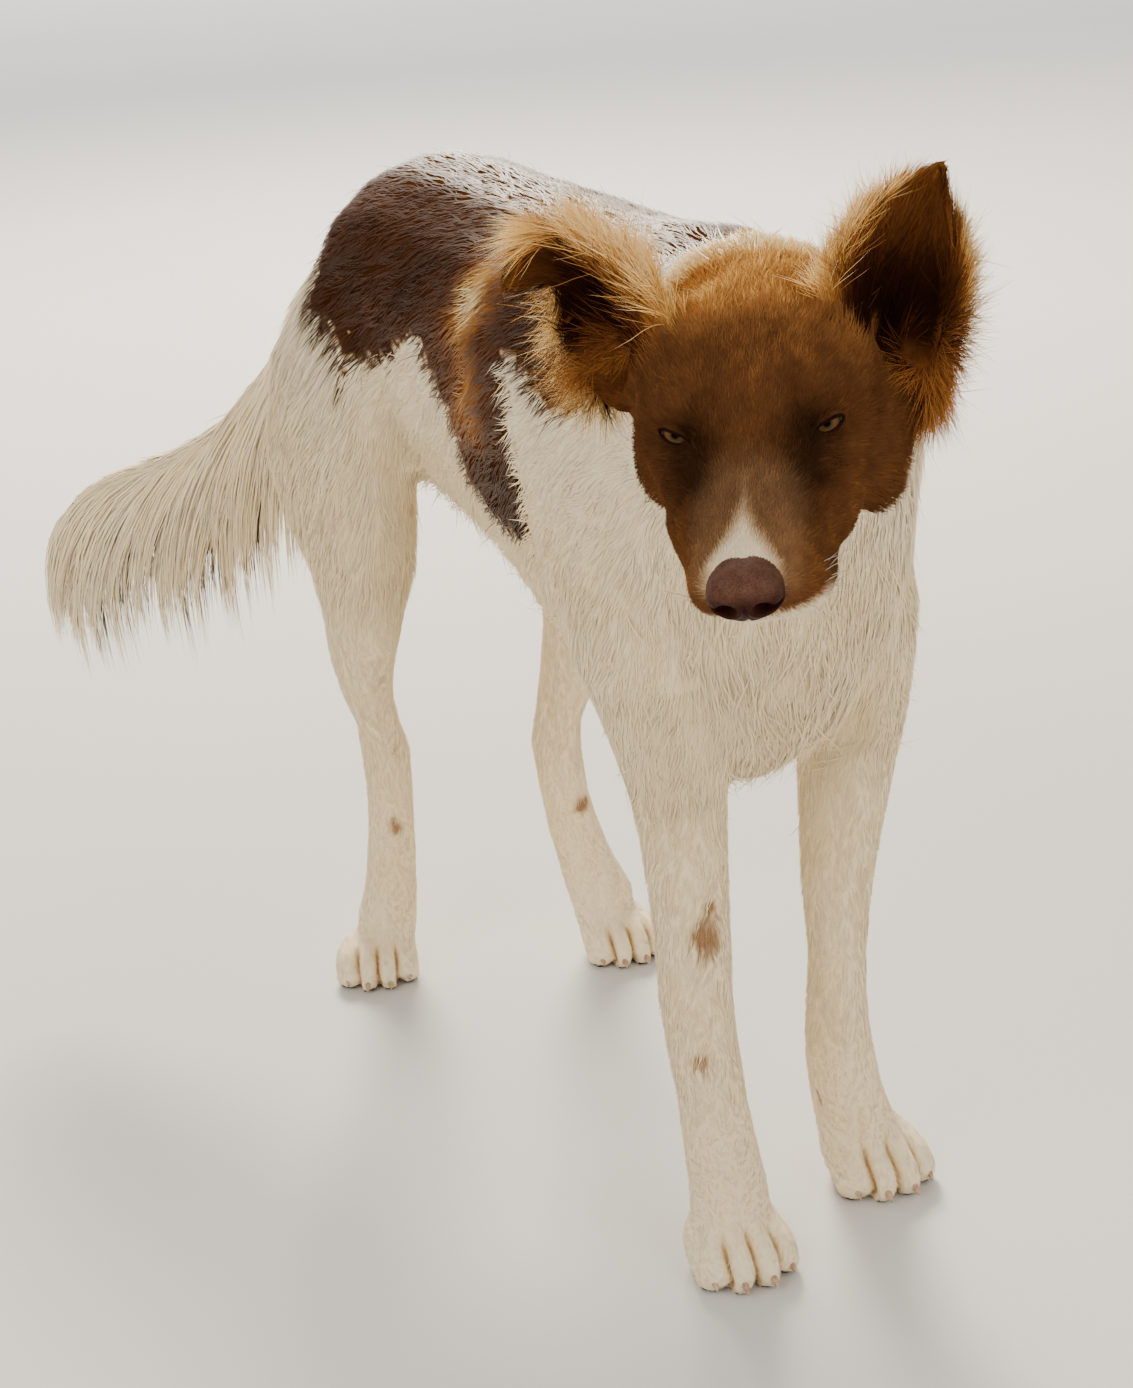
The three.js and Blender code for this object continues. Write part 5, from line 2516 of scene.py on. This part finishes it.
@dataclass(frozen=True)
class Foot:
    """One foot, placed by its four claws. Millimetres."""

    kind: str
    side: str

    @property
    def claws(self) -> list[str]:
        """The names of its claws, from the dog's right to its left."""
        return [f"claw_{self.kind}_{self.side}_{number}" for number in (1, 2, 3, 4)]

    @property
    def middles(self) -> Array:
        """The middle of each claw, in millimetres."""
        boxes = [node_box(name) for name in self.claws]
        return np.array([(low + high) / 2 for low, high in boxes]) / MM

    @property
    def ways(self) -> tuple[Array, Array]:
        """The foot's own directions.

        Returns:
            The way across the foot to the dog's left, and the way ahead.
        """
        middles = self.middles
        across = unit((middles[3] - middles[0]) * np.array([1, 1, 0]))
        return across, np.array([across[1], -across[0], 0.0])

    def dents(self, points: Array) -> tuple[Array, Array]:
        """The clefts between the toes.

        Args:
            points: points of the skin, metres.

        Returns:
            How deep each point lies in a cleft, 0 to 1, and how far it stands on a toe's ridge.
        """
        middles = self.middles
        across, ahead = self.ways
        start = (middles[0] + middles[3]) / 2
        offset = points / MM - start
        u, v = offset @ across, offset @ ahead
        seats = (middles - start) @ across
        back = np.clip(-v / 40, 0, 1)
        close = (np.abs(u) < 34) & (v > -52) & (v < 26) & (offset[:, 2] < 46)
        cleft, ridge = np.zeros(len(points)), np.zeros(len(points))
        for a, b in zip(seats[:-1], seats[1:]):
            line = (a + b) / 2 * (1 - 0.28 * back)
            fade = ease(-19, -5, v)
            cleft = np.maximum(cleft, hill(u - line, 1.7 + 0.7 * back) * fade)
        for seat in seats:
            ridge = np.maximum(ridge, hill(u - seat * (1 - 0.28 * back), 5.2) * hill(v + 9, 9))
        return cleft * close, ridge * close

    def build(self, finish: Material) -> None:
        """Makes the foot's claws, and its dewclaw where it has one, as one piece.

        Args:
            finish: its material.
        """
        _, ahead = self.ways
        bodies, nodes = [], self.claws
        for middle in self.middles:
            line = middle + np.array([
                -9.0 * ahead + 0.4 * UP, -5.5 * ahead + 0.2 * UP, -1.8 * ahead - 0.8 * UP,
                0.2 * ahead - 1.8 * UP, 1.2 * ahead - 3.2 * UP])
            bodies.append(self.claw(line, (2.0, 2.1, 1.7, 1.1, 0.35), 14))
        if self.kind == "fore":
            name = f"dewclaw_{self.side}"
            low, high = (corner / MM for corner in node_box(name))
            inner = np.array([-3.0 if self.side == "right" else 3.0, 2.0, 0.0])
            line = (low + high) / 2 + inner + np.array([
                [0, 1.5, 6.0], [0, 0.5, 2.5], [0, -1.0, -1.5], [0, -1.0, -5.5]])
            bodies.append(self.claw(line, (1.5, 1.7, 1.3, 0.4), 12))
            nodes = nodes + [name]
        points, faces = merged(bodies)
        piece = mesh_object(f"claws_{self.kind}_{self.side}", points, faces)
        shown(piece, finish, nodes)

    @staticmethod
    def claw(line: Array, radii: Sequence[float], count: int) -> Body:
        """One claw along an axis, in millimetres, with so many rings and sides."""
        swell = resampled(np.array(radii)[:, None], count)[:, 0]
        return tube(resampled(line, count) * MM, np.maximum(swell, 0.3) * MM, sides=count)


def node_box(name: str) -> tuple[Array, Array]:
    """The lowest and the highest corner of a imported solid, metres."""
    points = read_mesh(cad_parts[name].data).points
    return points.min(0), points.max(0)


FEET = tuple(Foot(kind, side) for kind in ("fore", "hind") for side in ("right", "left"))


@dataclass(frozen=True)
class Plume:
    """The long hair of the tail, which flows along it and then hangs. Millimetres."""

    strands: int = 5200
    seed: int = 120
    lock: Lock = Lock(
        rings=4, width=1.4, depth=0.4, soften=0.35, gather=0.62, tufts=30, patchy=0.07, gain=1.0)
    longest: float = 175.0
    shortest: float = 22.0

    def build(self, coat: Coat, finish: Material) -> None:
        """Grows the long hair out to the outline of the tail's solids.

        Args:
            coat: the coat it belongs to.
            finish: its material.
        """
        rng = np.random.default_rng(self.seed)
        share, _, _ = TAIL.near(coat.surface.points)
        cover = among(coat.hide.parts, Part.TAIL) * (0.7 + 0.9 * share)
        roots = coat.roots(rng, self.strands, cover)
        _, member = lock_centres(roots.at, self.lock.tufts, rng)
        _, first, member = np.unique(member, return_index=True, return_inverse=True)
        own_end = self.ends(roots.at, roots.normal)
        end = own_end + self.lock.gather * (own_end[first[member]] - own_end)
        end += 2.2 * MM * rng.normal(size=end.shape)
        _, _, heading = TAIL.near(roots.at)
        reach = np.linalg.norm(end - roots.at, axis=1)[:, None]
        middle = roots.at + 0.46 * reach * heading + 0.05 * reach * roots.normal
        cut = rng.uniform(0.72, 1.0, len(roots)) ** 0.7
        stops = np.linspace(0, 1, self.lock.rings + 2) ** 1.05
        t = stops[None, :, None] * cut[:, None, None]
        start = (roots.at - 0.7 * MM * roots.normal)[:, None]
        spines = (1 - t) ** 2 * start + 2 * t * (1 - t) * middle[:, None] + t**2 * end[:, None]
        wave = 1.6 * MM * rng.normal(size=(len(roots), 1)) * np.sin(3.4 * stops)[None]
        side = unit(np.cross(heading, UP))
        spines = spines + wave[:, :, None] * side[:, None]
        shade = 0.7 * rng.normal(size=len(first))[member] + 0.5 * rng.normal(size=len(roots))
        roots.normal = unit(roots.normal + 1.2 * np.sign(dot(roots.normal, side))[:, None] * side)
        shade = shade * self.lock.patchy
        piece = blades("coat_plume", spines, stops, roots, self.lock, shade, rng)
        shown(piece, finish)

    def ends(self, places: Array, normals: Array) -> Array:
        """Finds where hair would end, on the outline of the tail's solids.

        Args:
            places: where each hair grows, metres.
            normals: the skin's normal there.

        Returns:
            The end of each hair, metres.
        """
        tree, _ = solid_tree(("tail_root", "tail_middle", "tail_tip"))
        share, _, heading = TAIL.near(places)
        under = (1 - normals[:, 2]) / 2
        way = unit(
            heading * (1.1 - 0.5 * under - 0.15 * share)[:, None]
            + DOWN * (0.12 + 0.95 * under + 0.45 * share)[:, None] + 0.10 * normals)
        ends = np.empty_like(places)
        for i, (place, line) in enumerate(zip(places, way)):
            start, far = Vector(place), 0.0
            for _ in range(8):
                hit = tree.ray_cast(start, Vector(line), self.longest * MM - far)[0]
                if hit is None:
                    break
                far = (hit - Vector(place)).length
                start = hit + Vector(line) * 0.3 * MM
            ends[i] = place + line * max((1.04 + 0.20 * under[i]) * far, self.shortest * MM)
        return ends


# ---- The studio ----

@dataclass(frozen=True)
class Lamp:
    """A soft round lamp: place, width and aim in metres, power in watts."""

    name: str
    at: tuple[float, float, float]
    size: float
    power: float
    colour: Colour
    aim: tuple[float, float, float] = (0.0, 0.0, 0.35)

    def build(self) -> None:
        """Hangs the lamp."""
        lamp = bpy.data.lights.new(self.name, "AREA")
        lamp.shape = "DISK"
        lamp.size = self.size
        lamp.energy = self.power
        lamp.color = self.colour
        light = bpy.data.objects.new(self.name, lamp)
        light.location = self.at
        towards = Vector(self.at) - Vector(self.aim)
        light.rotation_euler = towards.to_track_quat("Z", "Y").to_euler()
        bpy.context.scene.collection.objects.link(light)


@dataclass(frozen=True)
class Studio:
    """The plain pale floor, the soft lights and the camera. Metres and degrees."""

    floor_side: float = 60.0
    surround: float = 0.55
    camera_at: tuple[float, float, float] = (-0.6580, -1.2668, 0.832)
    azimuth: float = -28.0
    elevation: float = 21.5
    roll: float = -3.6
    lens: float = 70.03
    lamps: tuple[Lamp, ...] = (
        Lamp("far_wash", (3.5, 9.0, 5.0), 5.0, 620.0, (1.0, 0.97, 0.93), (4.0, 8.0, 0.0)),
        Lamp("back_light", (1.1, 2.6, 2.2), 1.0, 190.0, (1.0, 0.89, 0.72)),
        Lamp("back_wash", (5.5, 15.4, 9.5), 13.2, 2500.0, (1.0, 0.95, 0.88)),
        Lamp("side_fill", (-2.4, -0.9, 1.9), 2.2, 42.0, (1.0, 0.94, 0.86)),
        Lamp("front_fill", (0.6, -2.8, 1.6), 2.6, 40.0, (1.0, 0.93, 0.84)),
    )

    def build(self) -> None:
        """Sets up everything round the dog."""
        self.floor()
        self.surroundings()
        for lamp in self.lamps:
            lamp.build()
        self.camera()

    def floor(self) -> None:
        """Lays the floor that the dog stands on."""
        corners = np.array([(-1, -1, 0), (1, -1, 0), (1, 1, 0), (-1, 1, 0)]) * self.floor_side / 2
        piece = mesh_object("floor", corners, np.array([[0, 1, 2, 3]]))
        piece.data.materials.append(FloorFinish().material())

    def surroundings(self) -> None:
        """Fills the shade with an even pale light."""
        world = bpy.data.worlds.new("surround")
        bpy.context.scene.world = world
        world.use_nodes = True
        inputs = world.node_tree.nodes["Background"].inputs
        inputs["Color"].default_value = (1.0, 0.965, 0.91, 1.0)
        inputs["Strength"].default_value = self.surround

    def camera(self) -> None:
        """Places the camera, looking down at the dog from its right front."""
        a, e, r = (math.radians(angle) for angle in (self.azimuth, self.elevation, self.roll))
        back = Vector((math.sin(a) * math.cos(e), -math.cos(a) * math.cos(e), math.sin(e)))
        level = (-back).cross(Vector((0, 0, 1))).normalized()
        above = level.cross(-back)
        right = level * math.cos(r) + above * math.sin(r)
        over = above * math.cos(r) - level * math.sin(r)
        lens = bpy.data.cameras.new("camera")
        lens.lens = self.lens
        lens.sensor_width = 36.0
        lens.sensor_fit = "AUTO"
        lens.clip_start = 0.05
        camera = bpy.data.objects.new("camera", lens)
        camera.matrix_world = Matrix.Translation(self.camera_at) @ Matrix(
            (right, over, back)).transposed().to_4x4()
        bpy.context.scene.collection.objects.link(camera)
        bpy.context.scene.camera = camera


def main() -> None:
    """Builds the whole model in order and reports each piece."""
    logging.basicConfig(level=logging.INFO, format="%(message)s")
    Studio().build()
    finishes = Finishes.made()
    hide = Hide()
    hide.build()
    marks = Markings(hide.surface.points, hide.parts)
    skin = build_skin(hide, marks, finishes.skin)
    Coat(hide, marks, skin).grow(finishes)
    Nose().build(finishes.nose)
    for foot in FEET:
        foot.build(finishes.horn)
    for eye in EYES:
        eye.build(finishes.eye)
        eye.build_rims(finishes.rim)


if __name__ == "__main__":
    main()
